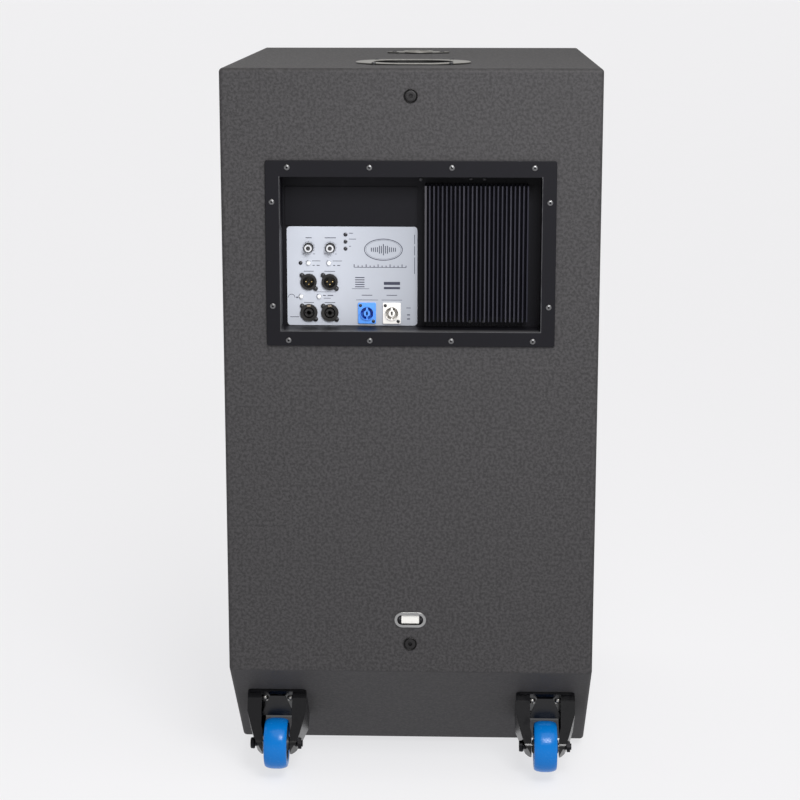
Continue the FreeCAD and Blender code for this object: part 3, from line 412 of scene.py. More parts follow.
# ---------------------------------------------------------------- finishes of metal
def anodised():
    """Black anodised extrusion: fine lines along the fins, with painted highlight that makes their tips
    paler and the first fin palest.
    """
    finish = Finish("sink_black", metallic=0.2, specular_ior_level=0.2)
    lines = finish.noise(1.1 * MM, 3.0, 0.6, finish.stretched((1.0, 1.0, 0.02)))
    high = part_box("heatsink")[1]
    tips = (high.y - finish.along("Y")).rising(1.2 * MM, 0.2 * MM)
    uneven = finish.noise(9.0 * MM, 1.0, 0.5, finish.stretched((1.0, 0.0, 0.02))).rising(0.35, 0.7)
    tone = finish.mix(lines, (0.003, 0.003, 0.007, 1.0), (0.007, 0.007, 0.016, 1.0))
    # Painted highlight: the fin tips are painted paler, more on some fins than on others.
    tone = finish.mix(tips * (0.25 + uneven * 0.65), tone, (0.044, 0.043, 0.056, 1.0))
    # Painted highlight: the first fin's tip is painted palest.
    first = (finish.along("X") - high.x).rising(-2.9 * MM, -2.7 * MM)
    tone = finish.mix(first * tips, tone, (0.060, 0.058, 0.066, 1.0))
    finish.feed(base_color=tone, roughness=0.34 + lines * 0.16)
    finish.bump(lines, 0.05 * MM, 0.6)
    return finish.material


def scratched(finish, size, scale, dull, bright, roughness, spread):
    """Bare steel: fine scratches give its gloss, its relief and the colour that this returns."""
    scratches = finish.noise(size, 4.0, 0.7, finish.stretched(scale))
    finish.feed(roughness=roughness + scratches * spread)
    finish.bump(scratches, 0.02 * MM, 0.5)
    return finish.mix(scratches, dull, bright)


def turned_steel(name, colour, roughness, spot=4 * MM):
    """Steel with fine scratches, and darker patches where it is stained."""
    finish = Finish(name, metallic=1.0)
    dull, bright = shade(colour, 0.82), shade(colour, 1.15)
    steel = scratched(finish, 0.7 * MM, (1.0, 1.0, 0.15), dull, bright, roughness, 0.14)
    stain = finish.noise(spot, 4.0, 0.6).rising(0.45, 0.75)
    finish.feed(base_color=finish.mix(stain * 0.35, steel, shade(colour, 0.45)))
    return finish.material


def frame_screw_steel():
    """Blackened steel, grey on the dome, with painted shade that makes it nearly black in the key's recess
    and under the rim.
    """
    finish = Finish("screw_grey", metallic=1.0)
    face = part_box("amplifier_frame")[1].y
    unshaded_dome = (finish.along("Y") - face).rising(0.75 * MM, 1.0 * MM)
    dull, bright = (0.13, 0.13, 0.135, 1.0), (0.24, 0.24, 0.245, 1.0)
    steel = scratched(finish, 0.8 * MM, (1.0, 1.0, 1.0), dull, bright, 0.34, 0.12)
    # Painted shade: nearly black within a millimetre of the frame face, in the key's recess and under the
    # rim.
    finish.feed(base_color=finish.mix(unshaded_dome, (0.012, 0.012, 0.014, 1.0), steel))
    return finish.material


def dish_steel():
    """Satin steel rim; the pressed dish behind it is painted dark as shade in the recess."""
    finish = Finish("dish_metal", metallic=1.0)
    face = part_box("back_panel")[1].y
    rim = (finish.along("Y") - face).rising(-0.4 * MM, 0.2 * MM)
    dull, bright = (0.26, 0.26, 0.26, 1.0), (0.44, 0.44, 0.44, 1.0)
    steel = scratched(finish, 0.9 * MM, (0.1, 1.0, 1.0), dull, bright, 0.26, 0.12)
    # Painted shade: the dish, sunk below the back panel's face, is painted nearly black.
    finish.feed(base_color=finish.mix(rim, (0.030, 0.030, 0.032, 1.0), steel))
    return finish.material


def caster_bolt_steel():
    """Zinc on the bolts through the plate, black on the axle bolt's head and nut."""
    finish = Finish("bolt_zinc", metallic=1.0)
    centre = middle("tyre_left").x
    outer = abs(abs(finish.along("X")) - centre).rising(26 * MM, 28 * MM)
    dull, bright = (0.42, 0.41, 0.39, 1.0), (0.66, 0.65, 0.62, 1.0)
    zinc = scratched(finish, 0.8 * MM, (0.2, 1.0, 1.0), dull, bright, 0.26, 0.14)
    finish.feed(base_color=finish.mix(outer, zinc, (0.018, 0.018, 0.020, 1.0)))
    return finish.material


def satin_handle():
    """Satin grey coat of the handles and the pole socket, with painted shade that makes it black in the
    cups, and rubbed where hands go.
    """
    finish = Finish("handle_metal", metallic=0.35, specular_ior_level=0.4)
    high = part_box("side_panel_left")[1]
    above = (finish.along("Z") - high.z).most(abs(finish.along("X")) - high.x)
    brush = finish.noise(0.8 * MM, 3.0, 0.6, finish.stretched((0.06, 1.0, 1.0)))
    rubbed = finish.noise(16 * MM, 4.0, 0.6).rising(0.45, 0.7)
    tone = finish.mix(brush, (0.20, 0.197, 0.182, 1.0), (0.25, 0.245, 0.228, 1.0))
    tone = finish.mix(rubbed * 0.25, tone, (0.34, 0.33, 0.305, 1.0))
    # Painted shade: every part sunk below the cabinet's top or sides, such as the cups, is painted black.
    tone = finish.mix(above.rising(2.1 * MM, 1.5 * MM), tone, (0.010, 0.010, 0.010, 1.0))
    finish.feed(base_color=tone, roughness=0.36 + brush * 0.14)
    finish.bump(brush, 0.03 * MM, 0.5)
    return finish.material


def zinc_sheet():
    """Zinc-plated sheet with crystal patches."""
    finish = Finish("housing_steel", metallic=1.0)
    crystals = finish.cells(9 * MM)
    fine = finish.noise(1.2 * MM, 3.0, 0.6)
    tone = finish.mix(crystals, (0.42, 0.43, 0.44, 1.0), (0.60, 0.60, 0.61, 1.0))
    finish.feed(base_color=tone, roughness=0.32 + fine * 0.2)
    finish.bump(fine, 0.03 * MM, 0.4)
    return finish.material


def cast_crinkle():
    """Crinkle paint on the cast baskets."""
    finish = Finish("basket_black", specular_ior_level=0.35)
    crinkle = finish.cells(1.3 * MM)
    finish.feed(base_color=finish.mix(crinkle, (0.012, 0.012, 0.013, 1.0), (0.026, 0.026, 0.027, 1.0)))
    finish.feed(roughness=0.5 + finish.noise(10 * MM) * 0.15)
    finish.bump(crinkle, 0.18 * MM, 0.8)
    return finish.material


# ---------------------------------------------------------------- finishes of plastic, rubber and cloth
def moulded(name, colour, roughness=0.35, spread=0.06, depth=0.02 * MM):
    """Moulded plastic: a faint even grain and soft handling marks."""
    finish = grained(name, colour, roughness, 0.7 * MM, depth, spread, specular_ior_level=0.45)
    return finish.material


def knob_plastic():
    """Dark soft-touch knob with a painted highlight: a pale ring on its cap."""
    finish = Finish("knob_grey", specular_ior_level=0.4)
    left, right = middle("gain_knob"), middle("filter_knob")
    across = abs(finish.along("X") - (left.x + right.x) / 2.0) - (left.x - right.x) / 2.0
    upward = finish.along("Z") - left.z
    distance = (across * across + upward * upward).root()
    ring = abs(distance - 4.4 * MM).rising(1.3 * MM, 1.0 * MM)
    cap = (finish.along("Y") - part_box("gain_knob")[1].y).rising(-0.9 * MM, -0.6 * MM)
    grain = finish.noise(0.7 * MM, 3.0, 0.6)
    dark = finish.mix(grain, (0.022, 0.022, 0.024, 1.0), (0.040, 0.040, 0.043, 1.0))
    # Painted highlight: a pale ring on the cap, where its top catches the light.
    finish.feed(base_color=finish.mix(ring * cap, dark, (0.62, 0.63, 0.66, 1.0)))
    finish.feed(roughness=0.40 + grain * 0.15)
    finish.bump(grain, 0.02 * MM)
    return finish.material


def board_green():
    """Circuit board: a square net of tracks under the green lacquer."""
    finish = Finish("board_green", coat_weight=0.4, coat_roughness=0.2)
    pitch = math.tau / (3.4 * MM)
    rows = (finish.along("X") * pitch + finish.noise(7 * MM) * 6.0).sine()
    columns = (finish.along("Z") * pitch + finish.noise(9 * MM) * 6.0).sine()
    tracks = rows.most(columns).rising(0.72, 0.86)
    finish.feed(base_color=finish.mix(tracks, (0.010, 0.060, 0.026, 1.0), (0.04, 0.16, 0.07, 1.0)))
    finish.feed(roughness=0.42 - tracks * 0.12)
    finish.bump(tracks, 0.05 * MM)
    return finish.material


def wound_tape():
    """Yellow tape wound round a ring core: slanted turns with a dark line at each overlap."""
    finish = Finish("transformer_tape", coat_weight=0.3, coat_roughness=0.25)
    centre = middle("transformer")
    across, upward = finish.along("X") - centre.x, finish.along("Z") - centre.z
    turn = across.math("ARCTAN2", upward, across)
    turns = (turn * 46.0 + finish.along("Y") * 60.0).sine().rising(0.5, 0.95)
    finish.feed(base_color=finish.mix(turns, (0.42, 0.28, 0.03, 1.0), (0.16, 0.10, 0.02, 1.0)))
    finish.feed(roughness=0.3 + turns * 0.2)
    finish.bump(1.0 - turns, 0.1 * MM)
    return finish.material


def tyre_rubber(settings):
    """Elastic blue tyre: dense and glossy, with a faint mould grain and scattered scuffs."""
    finish = Finish("tyre_blue", specular_ior_level=0.2, coat_weight=0.06, coat_roughness=0.1)
    grain = finish.noise(0.9 * MM, 3.0, 0.6)
    scuffs = finish.noise(9 * MM, 5.0, 0.7).rising(0.56, 0.70)
    tone = finish.mix(grain, shade(settings.colour, 0.90), shade(settings.colour, 1.10))
    tone = finish.mix(scuffs * 0.10, tone, (0.06, 0.20, 0.46, 1.0))
    finish.feed(base_color=tone, roughness=0.24 + scuffs * 0.18)
    finish.bump(grain, 0.03 * MM, 0.5)
    return finish.material


def pulp_paper():
    """Pressed paper pulp: short fibres in every direction under a thin coat."""
    finish = Finish("cone_paper", coat_weight=0.1, coat_roughness=0.5)
    fibres = finish.noise(1.6 * MM, 6.0, 0.8)
    flecks = finish.noise(0.6 * MM, 2.0, 0.5, finish.stretched((1.0, 1.0, 0.25))).rising(0.62, 0.75)
    tone = finish.mix(fibres, (0.014, 0.014, 0.014, 1.0), (0.035, 0.034, 0.033, 1.0))
    finish.feed(base_color=finish.mix(flecks * 0.4, tone, (0.08, 0.078, 0.075, 1.0)))
    finish.feed(roughness=0.7 + fibres * 0.15)
    finish.bump(fibres, 0.2 * MM)
    return finish.material


def doped_cloth():
    """Woven cloth soaked in soft lacquer: two crossed sets of threads."""
    finish = Finish("suspension_cloth", sheen_weight=0.15)
    pitch = math.tau / (1.1 * MM)
    warp = (finish.along("X") * pitch).sine()
    weft = (finish.along("Z") * pitch).sine()
    weave = (warp * weft) * 0.5 + 0.5
    finish.feed(base_color=finish.mix(weave, (0.012, 0.011, 0.010, 1.0), (0.040, 0.036, 0.030, 1.0)))
    finish.feed(roughness=0.62 + finish.noise(12 * MM) * 0.15)
    finish.bump(weave, 0.12 * MM)
    return finish.material


def open_foam():
    """Open-cell foam: small round cells with soft walls."""
    finish = Finish("foam_black", sheen_weight=0.1)
    cells = finish.cells(1.5 * MM)
    clouds = finish.noise(35 * MM, 3.0)
    tone = finish.mix(cells.rising(0.2, 0.7), (0.003, 0.003, 0.003, 1.0), (0.014, 0.014, 0.015, 1.0))
    finish.feed(base_color=finish.mix(clouds * 0.25, tone, (0.010, 0.010, 0.011, 1.0)))
    finish.feed(roughness=0.85 + clouds * 0.1)
    finish.bump(cells, 0.7 * MM)
    return finish.material


def dark_lens():
    """Smoked lens of an unlit status light."""
    return moulded("light_lens", (0.020, 0.020, 0.026, 1.0), 0.18, 0.1, 0.005 * MM)


def ink(settings):
    """Screen-printed ink with slightly ragged coverage."""
    finish = Finish("panel_ink", specular_ior_level=0.3)
    cover = finish.noise(0.35 * MM, 3.0, 0.7)
    finish.feed(base_color=finish.mix(cover, settings.ink, shade(settings.ink, 1.9)))
    finish.feed(roughness=0.5 + cover * 0.1)
    return finish.material


def dress(material, *nodes):
    """Gives frame nodes one material."""
    for node in nodes:
        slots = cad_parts[node].data.materials
        slots.clear()
        slots.append(material)


# ---------------------------------------------------------------- surfaces
def grid_faces(rows, columns, close_rows=False, close_columns=False):
    """Quads between neighbouring points of a grid that is numbered row by row.

    A closed side joins its last line to its first.
    """
    row = np.arange(rows if close_rows else rows - 1)[:, None]
    column = np.arange(columns if close_columns else columns - 1)[None, :]
    here, above = row * columns, (row + 1) % rows * columns
    right = (column + 1) % columns
    return np.stack([here + column, here + right, above + right, above + column], axis=-1).reshape(-1, 4)


def outward(points, faces):
    """Turns all faces of a closed surface round if the volume they enclose comes out negative."""
    a, b, c, d = (points[faces[:, corner]] for corner in range(4))
    volume = np.einsum("ij,ij->", a, np.cross(b, c)) + np.einsum("ij,ij->", a, np.cross(c, d))
    return faces if volume > 0.0 else faces[:, ::-1]


def piece_of(name, points, faces, material, crease=35.0):
    """A mesh object whose place is in its mesh, smooth except at edges sharper than the crease angle."""
    mesh = bpy.data.meshes.new(name)
    mesh.from_pydata(points.tolist(), [], faces.tolist())
    mesh.polygons.foreach_set("use_smooth", np.ones(len(mesh.polygons), bool))
    mesh.set_sharp_from_angle(angle=math.radians(crease))
    mesh.materials.append(material)
    made = bpy.data.objects.new(name, mesh)
    bpy.context.scene.collection.objects.link(made)
    return made


def revolved(profile, centre, axis, steps):
    """A closed profile of (along, radius) carried round an axis.

    The point at angle t is the centre, plus along times the axis, plus radius times
    (cos t times one side direction and sin t times the other).
    """
    axis = np.asarray(axis, float)
    side = np.array([axis[1], axis[2], axis[0]])
    other = np.cross(axis, side)
    angle = np.linspace(0.0, math.tau, steps, endpoint=False)[:, None, None]
    along, radius = profile[None, :, 0, None], profile[None, :, 1, None]
    points = np.asarray(centre) + along * axis + radius * (np.cos(angle) * side + np.sin(angle) * other)
    points = points.reshape(-1, 3)
    return points, outward(points, grid_faces(steps, len(profile), True, True))


def joined(parts):
    """Several (points, faces) pairs as one."""
    points = np.concatenate([part[0] for part in parts])
    starts = np.cumsum([0] + [len(part[0]) for part in parts[:-1]])
    faces = np.concatenate([part[1] + start for part, start in zip(parts, starts)])
    return points, faces


# ---------------------------------------------------------------- grille
def hexagon_lattice(columns, rows, pitch):
    """Corners and cells of a honeycomb that is columns wide and an odd number of rows tall.

    Corners lie on a fine net: half a pitch apart across and half a side apart upwards. A cell's six
    corners are its middle plus fixed steps on that net, so neighbours share theirs. Odd rows have
    one cell less and sit half a pitch in.
    """
    even = np.array([(2 * i - columns + 1, 3 * j) for j in range(0, rows, 2) for i in range(columns)])
    odd = np.array([(2 * i - columns + 2, 3 * j) for j in range(1, rows, 2) for i in range(columns - 1)])
    middles = np.concatenate([even, odd])
    steps = np.array([(1, 1), (0, 2), (-1, 1), (-1, -1), (0, -2), (1, -1)])
    corners = (middles[:, None, :] + steps[None]).reshape(-1, 2)
    net, index = np.unique(corners, axis=0, return_inverse=True)
    side = pitch / math.sqrt(3.0)
    unit = np.array([pitch / 2.0, side / 2.0])
    return net, index.reshape(-1, 6), unit, middles * unit


def perforated_sheet(settings):
    """The grille's front face with its holes, its plain border and its folded edge, as an open sheet.

    Each cell is a ring of six quads between its outer hexagon and its hole. The honeycomb's zigzag
    edge is joined to its own projection on a rectangle, and a fold profile, a quarter round and a
    straight run back, is carried round that rectangle.
    """
    low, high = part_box("grille")
    half_x, half_z = (high.x - low.x) / 2.0 - settings.fold, (high.z - low.z) / 2.0 - settings.fold
    centre_z = (high.z + low.z) / 2.0
    side = settings.pitch / math.sqrt(3.0)
    columns = int(2.0 * (half_x + settings.fold - settings.margin) / settings.pitch)
    rows = int(2.0 * (half_z + settings.fold - settings.margin - side) / (1.5 * side)) // 2 * 2 + 1
    net, cells, unit, middles = hexagon_lattice(columns, rows, settings.pitch)
    shift = np.array([0.0, -0.75 * side * (rows - 1)])
    outer = net * unit + shift
    hole = (settings.pitch - settings.web) / math.sqrt(3.0)
    turn = np.radians(30.0 + 60.0 * np.arange(6))
    inner = (middles + shift)[:, None, :] + hole * np.stack([np.cos(turn), np.sin(turn)], axis=-1)[None]
    inner_index = len(outer) + np.arange(len(middles) * 6).reshape(-1, 6)
    ring = np.stack([cells, np.roll(cells, -1, 1), np.roll(inner_index, -1, 1), inner_index], axis=-1)
    flat = np.concatenate([outer, inner.reshape(-1, 2)])

    top, right = 3 * (rows - 1) + 1, columns
    lookup = {tuple(corner): number for number, corner in enumerate(net.tolist())}
    bottom_line = [lookup[(x, -1 if (x + right) % 2 == 0 else -2)] for x in range(-right, right + 1)]
    top_line = [lookup[(x, top if (x + right) % 2 == 0 else top + 1)] for x in range(right, -right - 1, -1)]
    side_steps = [(right - (j % 2), 3 * j + step) for j in range(rows) for step in (-1, 1)]
    right_line = [lookup[step] for step in side_steps]
    left_line = [lookup[(-x, z)] for x, z in side_steps[::-1]]
    edge_points, edge_index, normals, quads = [], [], [], []
    start = len(flat)
    lines = (bottom_line, right_line, top_line, left_line)
    for line, normal in zip(lines, ((0, -1), (1, 0), (0, 1), (-1, 0))):
        normal = np.array(normal, float)
        points = flat[line].copy()
        reach = half_x if normal[0] else half_z
        points[:, 0 if normal[0] else 1] = normal.sum() * reach
        numbers = start + np.arange(len(line))
        quads.append(np.stack([line[:-1], numbers[:-1], numbers[1:], line[1:]], axis=-1))
        following = np.array([-normal[1], normal[0]])
        corner = (normal + following) * np.array([half_x, half_z])
        edge_points += [points, corner[None]]
        edge_index += [numbers, [numbers[-1] + 1]]
        normals += [np.repeat(normal[None], len(line), 0), (normal + following)[None]]
        start = numbers[-1] + 2
    for number, line in enumerate(lines):
        after = edge_index[(2 * number + 2) % 8][0]
        last, corner = edge_index[2 * number][-1], edge_index[2 * number + 1][0]
        quads.append(np.array([[line[-1], last, corner, after]]))
    loop = np.concatenate(edge_points)
    loop_normals = np.concatenate(normals)

    bend = np.linspace(0.0, math.pi / 2.0, 6)[1:]
    out = np.append(settings.fold * np.sin(bend), settings.fold)
    back = np.append(settings.fold * (1.0 - np.cos(bend)), high.y - low.y)
    skirt = loop[None] + out[:, None, None] * loop_normals[None]
    flat = np.concatenate([flat, loop])
    points = np.stack([flat[:, 0], np.full(len(flat), low.y), flat[:, 1] + centre_z], axis=-1)
    depth = np.repeat(back[:, None], len(loop), axis=1) + low.y
    folded = np.stack([skirt[..., 0], depth, skirt[..., 1] + centre_z], axis=-1).reshape(-1, 3)
    fold_faces = grid_faces(len(back) + 1, len(loop), close_columns=True) + (len(flat) - len(loop))
    faces = np.concatenate([ring.reshape(-1, 4)] + quads + [fold_faces[:, ::-1]])
    return np.concatenate([points, folded]), faces


def thickened(piece, thickness):
    """Gives an open sheet its thickness, away from the side its faces look at."""
    solid = piece.modifiers.new("Thickness", "SOLIDIFY")
    solid.thickness = thickness
    solid.offset = -1.0
    solid.use_even_offset = False
    return piece


def foam_sheet():
    """The front of the foam: a flat sheet with very shallow waves that die out towards its edge.

    With u and v from -1 to 1 across and up, a wave is sin(9u + 2v) sin(14v - 3u), and 1 - u^6
    times 1 - v^6 makes it die out.
    """
    low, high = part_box("grille_foam")
    columns, rows = 70, 140
    u = np.linspace(-1.0, 1.0, columns)[None, :]
    v = np.linspace(-1.0, 1.0, rows)[:, None]
    quiet = (1.0 - u ** 6) * (1.0 - v ** 6)
    wave = np.sin(9.0 * u + 2.0 * v) * np.sin(14.0 * v - 3.0 * u)
    x = np.broadcast_to(u * high.x, wave.shape)
    z = np.broadcast_to((low.z + high.z) / 2.0 + v * (high.z - low.z) / 2.0, wave.shape)
    y = low.y + 0.2 * MM + 0.15 * MM * (1.0 + wave) * quiet
    points = np.stack([x, y, z], axis=-1).reshape(-1, 3)
    return points, grid_faces(rows, columns)


# ---------------------------------------------------------------- printing on the control plate
def ribbon(path, width, low, high):
    """A rectangle of this width, from low to high in Y, carried along a path of (x, z) points.

    Its ends are closed. At each point the rectangle stands square to the path's mean direction there.
    """
    path = np.asarray(path, float)
    ahead = np.gradient(path, axis=0)
    ahead /= np.linalg.norm(ahead, axis=1)[:, None]
    sideways = np.stack([-ahead[:, 1], ahead[:, 0]], axis=-1) * width / 2.0
    left, right = path + sideways, path - sideways
    corners = [(left, low), (right, low), (right, high), (left, high)]
    points = np.stack([np.insert(flat, 1, y, axis=1) for flat, y in corners], axis=1).reshape(-1, 3)
    count = len(path)
    ends = np.array([[0, 1, 2, 3], [4 * count - 1, 4 * count - 2, 4 * count - 3, 4 * count - 4]])
    faces = np.concatenate([grid_faces(count, 4, close_columns=True), ends])
    return points, outward(points, faces)


def arc(centre, radius, start, end, steps=24, squeeze=1.0):
    """Points of an arc from one angle to another, in degrees clockwise from the top, seen from behind."""
    turn = np.radians(np.linspace(start, end, steps))
    across, upward = radius * np.sin(turn), radius * squeeze * np.cos(turn)
    return np.stack([centre[0] - across, centre[1] + upward], axis=-1)


def printed_marks():
    """All the printing as (path, width) pairs, in millimetres from the plate's left and lower edges.

    It is generic: dial scales, plain rules where a caption would be, flow lines, a level symbol.
    """
    low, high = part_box("control_plate")

    def on_plate(node):
        spot = middle(node)
        return (high.x - spot.x) / MM, (spot.z - low.z) / MM

    marks = []

    def rule(x0, x1, z, width):
        marks.append(([(x0, z), (x1, z)], width))

    for knob in ("gain_knob", "filter_knob"):
        x, z = on_plate(knob)
        for step in range(11):
            angle = -150.0 + 30.0 * step
            long = 1.5 if step in (0, 5, 10) else 1.0
            ray = arc((x, z), 1.0, angle, angle, 1)[0] - np.array([x, z])
            marks.append(([np.array([x, z]) + 8.9 * ray, np.array([x, z]) + (8.9 + long) * ray], 0.4))
        marks.append((arc((x, z), 8.7, -150.0, 150.0, 40), 0.28))
        wide = 4.6 if knob == "gain_knob" else 8.4
        rule(x - wide, x + wide, z + 14.8, 1.1)
        rule(x - 9.5, x - 6.8, z - 9.6, 0.8)
        rule(x + 6.8, x + 9.5, z - 9.6, 0.8)
    column = 88.2
    for z, wide in ((140.0, 6.0), (131.2, 10.5), (120.4, 3.0)):
        rule(column + 5.2, column + 5.2 + wide, z, 0.9)
    for button, wide in (("button_phase", 12.5), ("button_ground", 14.0)):
        x, z = on_plate(button)
        marks.append((arc((x, z), 4.3, 20.0, 160.0, 14), 0.45))
        rule(x + 5.2, x + 5.2 + wide, z + 3.2, 0.8)
        rule(x + 6.0, x + 9.0, z - 3.6, 1.2)
        rule(x + 12.0, x + 16.5, z - 3.6, 1.2)
    for button in ("button_delay", "button_link"):
        x, z = on_plate(button)
        marks.append((arc((x, z), 4.3, 20.0, 160.0, 14), 0.45))
    x, z = on_plate("button_link")
    rule(x + 5.6, x + 9.5, z + 1.6, 1.3)
    rule(x + 12.5, x + 21.0, z + 1.6, 1.3)
    rule(x + 6.5, x + 17.0, z - 2.6, 0.8)
    x, z = on_plate("button_delay")
    marks.append((arc((x - 15.0, z - 2.0), 5.2, -90.0, 90.0, 20), 0.8))
    rule(x - 8.0, x - 5.4, z - 1.5, 2.2)
    for sockets, rise in (("link_sockets", 16.0), ("input_sockets", 15.2)):
        x, z = on_plate(sockets)
        for offset, wide in ((-15.85, 7.5), (15.85, 8.0)):
            rule(x + offset - wide, x + offset + wide, z + rise, 0.9)
    x, z = on_plate("link_sockets")
    flow = [(x - 6.6, z - 12.0), (x - 4.6, z - 15.4), (x + 24.5, z - 15.4), (x + 26.6, z - 12.0)]
    marks.append((flow, 0.6))
    x, z = on_plate("input_sockets")
    rule(x - 44.5, x - 30.5, z - 6.8, 0.8)
    for inlet, wide in (("mains_inlet", 16.5), ("mains_outlet", 15.5)):
        x, z = on_plate(inlet)
        rule(x - 8.0, x + 8.0, z + 27.3, 1.0)
        rule(x - wide, x + wide, z + 20.0, 0.7)
    badge = (145.0, 115.4)
    marks.append((arc(badge, 28.4, 0.0, 360.0, 72, 0.565), 1.1))
    marks.append((arc(badge, 26.2, 0.0, 360.0, 72, 0.545), 0.35))
    for step in range(-6, 7):
        tall = 3.0 + 5.5 * math.exp(-(step / 2.6) ** 2) * (1.0 if step % 2 == 0 else 0.55)
        x = badge[0] + 3.0 * step
        marks.append(([(x, badge[1] - tall), (x, badge[1] + tall)], 1.3))
    scale_left, scale_right, scale_z = 101.0, 179.0, 88.6
    rule(scale_left, scale_right, scale_z, 0.8)
    for step in range(14):
        x = scale_left + (scale_right - scale_left) * step / 13.0
        marks.append(([(x, scale_z), (x, scale_z + (4.6 if step % 3 == 0 else 2.8))], 1.2))
    for z in (59.0, 62.5, 66.0, 69.5, 73.0):
        rule(102.5, 116.5, z, 1.4)
    rule(97.5, 123.5, 56.0, 0.7)
    rule(145.6, 170.0, 64.3, 4.6)
    rule(145.6, 170.0, 57.2, 3.4)
    for z0, z1 in ((79.0, 104.0), (107.0, 121.0), (124.0, 138.0)):
        marks.append(([(191.8, z0), (191.8, z1)], 0.9))
    rule(179.5, 186.0, 27.0, 0.9)
    rule(180.5, 185.0, 16.4, 1.6)
    rule(180.5, 185.0, 10.2, 1.6)
    return marks


def printing(settings):
    """Every mark as a thin ribbon that stands a hair off the plate."""
    low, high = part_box("control_plate")
    parts = []
    for path, width in printed_marks():
        path = np.asarray(path, float)
        path = np.stack([high.x - path[:, 0] * MM, low.z + path[:, 1] * MM], axis=-1)
        parts.append(ribbon(path, width * MM, high.y - settings.ink_depth, high.y + settings.ink_depth))
    return joined(parts)


# ---------------------------------------------------------------- tyres and woofer suspensions
def tyre_profile(settings):
    """Cross-section of a tyre: crowned tread, round shoulders, walls that lean in, two fine mould lines.

    A superellipse gives the outside: along is cos t and radius is sin t, each with its own power,
    and the inside is flat. The mould lines are narrow raised bumps on the tread.
    """
    low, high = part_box("tyre_left")
    half, radius = (high.x - low.x) / 2.0, (high.z - low.z) / 2.0
    bore, wall = radius - 11.2 * MM, radius - 8.0 * MM
    t = np.linspace(0.0, math.pi, 44)
    along = half * np.sign(np.cos(t)) * np.abs(np.cos(t)) ** 0.42
    rise = np.sin(t) ** 0.46
    tread = wall + (radius - wall - 0.1 * MM) * rise - settings.crown * (along / half) ** 2 * rise
    for place in (-0.45, 0.45):
        tread = tread + 0.12 * MM * np.exp(-((along / half - place) / 0.035) ** 2)
    inside_along = np.linspace(-half + 1.5 * MM, half - 1.5 * MM, 8)
    inside = np.stack([inside_along, np.full(len(inside_along), bore)], axis=-1)
    return np.concatenate([np.stack([along, tread], axis=-1), inside])


def suspension_rings(node):
    """Half-roll surround and corrugated spider, and how far each point follows the cone.

    The surround's section is a half circle. The spider's section is a cosine that repeats seven times.
    Both have a second wall behind them. A point's share of the cone's travel is a smooth step of its
    radius, from 0 at the fixed rim to 1 at the cone.
    """
    low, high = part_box(node)
    centre = np.array([0.0, 0.0, (low.z + high.z) / 2.0])
    outer, thick, reach, lip = (high.x - low.x) / 2.0, 1.1 * MM, 8.2 * MM, 8.5 * MM
    roll_middle, front_y = outer - lip, low.y + lip
    t = np.linspace(0.0, math.pi, 28)
    arch = np.stack([-np.sin(t), np.cos(t)], axis=-1)
    roll_centre = np.array([front_y, roll_middle])
    surround = np.concatenate([roll_centre + reach * arch, roll_centre + (reach - thick) * arch[::-1]])
    rim, inner = 118.5 * MM, 53.5 * MM
    radius = np.linspace(rim, inner, 90)
    spider_y = high.y - 2.8 * MM
    wave = spider_y + 2.0 * MM * np.cos(math.tau * 7.0 * (radius - inner) / (rim - inner))
    front = np.stack([wave, radius], axis=-1)
    spider = np.concatenate([front, front[::-1] + np.array([0.8 * MM, 0.0])])
    parts = [revolved(surround, centre, (0, 1, 0), 128), revolved(spider, centre, (0, 1, 0), 96)]
    points, faces = joined(parts)
    distance = np.hypot(points[:, 0] - centre[0], points[:, 2] - centre[2])
    on_roll = distance > (rim + roll_middle) / 2.0
    first = np.where(on_roll, roll_middle - reach, inner)
    last = np.where(on_roll, roll_middle + reach, rim)
    share = np.clip((last - distance) / (last - first), 0.0, 1.0)
    return points, faces, share * share * (3.0 - 2.0 * share)


# ---------------------------------------------------------------- operators
class SUBWOOFER_OT_cabinet(bpy.types.Operator):
    """Paints the boards of the cabinet"""
    bl_idname = "subwoofer.cabinet"
    bl_label = "Paint cabinet"

    def execute(self, context):
        settings = context.scene.subwoofer_cabinet
        paint = textured_paint("cabinet_paint", settings)
        dress(paint, "side_panel_left", "side_panel_right", "top_panel", "back_panel")
        dress(textured_paint("cabinet_paint_smooth", settings, 0.3), "bottom_panel", "bevel_panel")
        dress(birch("plywood", (0.50, 0.36, 0.22, 1.0)), "port_shelves", "brace")
        dress(birch("plywood_black", (0.020, 0.019, 0.018, 1.0)), "front_baffle", "grille_blocks")
        return {"FINISHED"}


class SUBWOOFER_OT_amplifier(bpy.types.Operator):
    """Finishes the amplifier's frame, plates, heatsink and inner parts"""
    bl_idname = "subwoofer.amplifier"
    bl_label = "Finish amplifier"

    def execute(self, context):
        dress(amplifier_coat(), "amplifier_frame", "blank_plate")
        dress(control_plate_paint(context.scene.subwoofer_panel), "control_plate")
        dress(anodised(), "heatsink")
        rubber = grained("gasket_rubber", (0.014, 0.014, 0.014, 1.0), 0.8, 1.0 * MM, 0.2 * MM)
        dress(rubber.material, "amplifier_gasket")
        dress(zinc_sheet(), "amplifier_housing")
        dress(board_green(), "input_board", "power_board")
        dress(wound_tape(), "transformer")
        return {"FINISHED"}


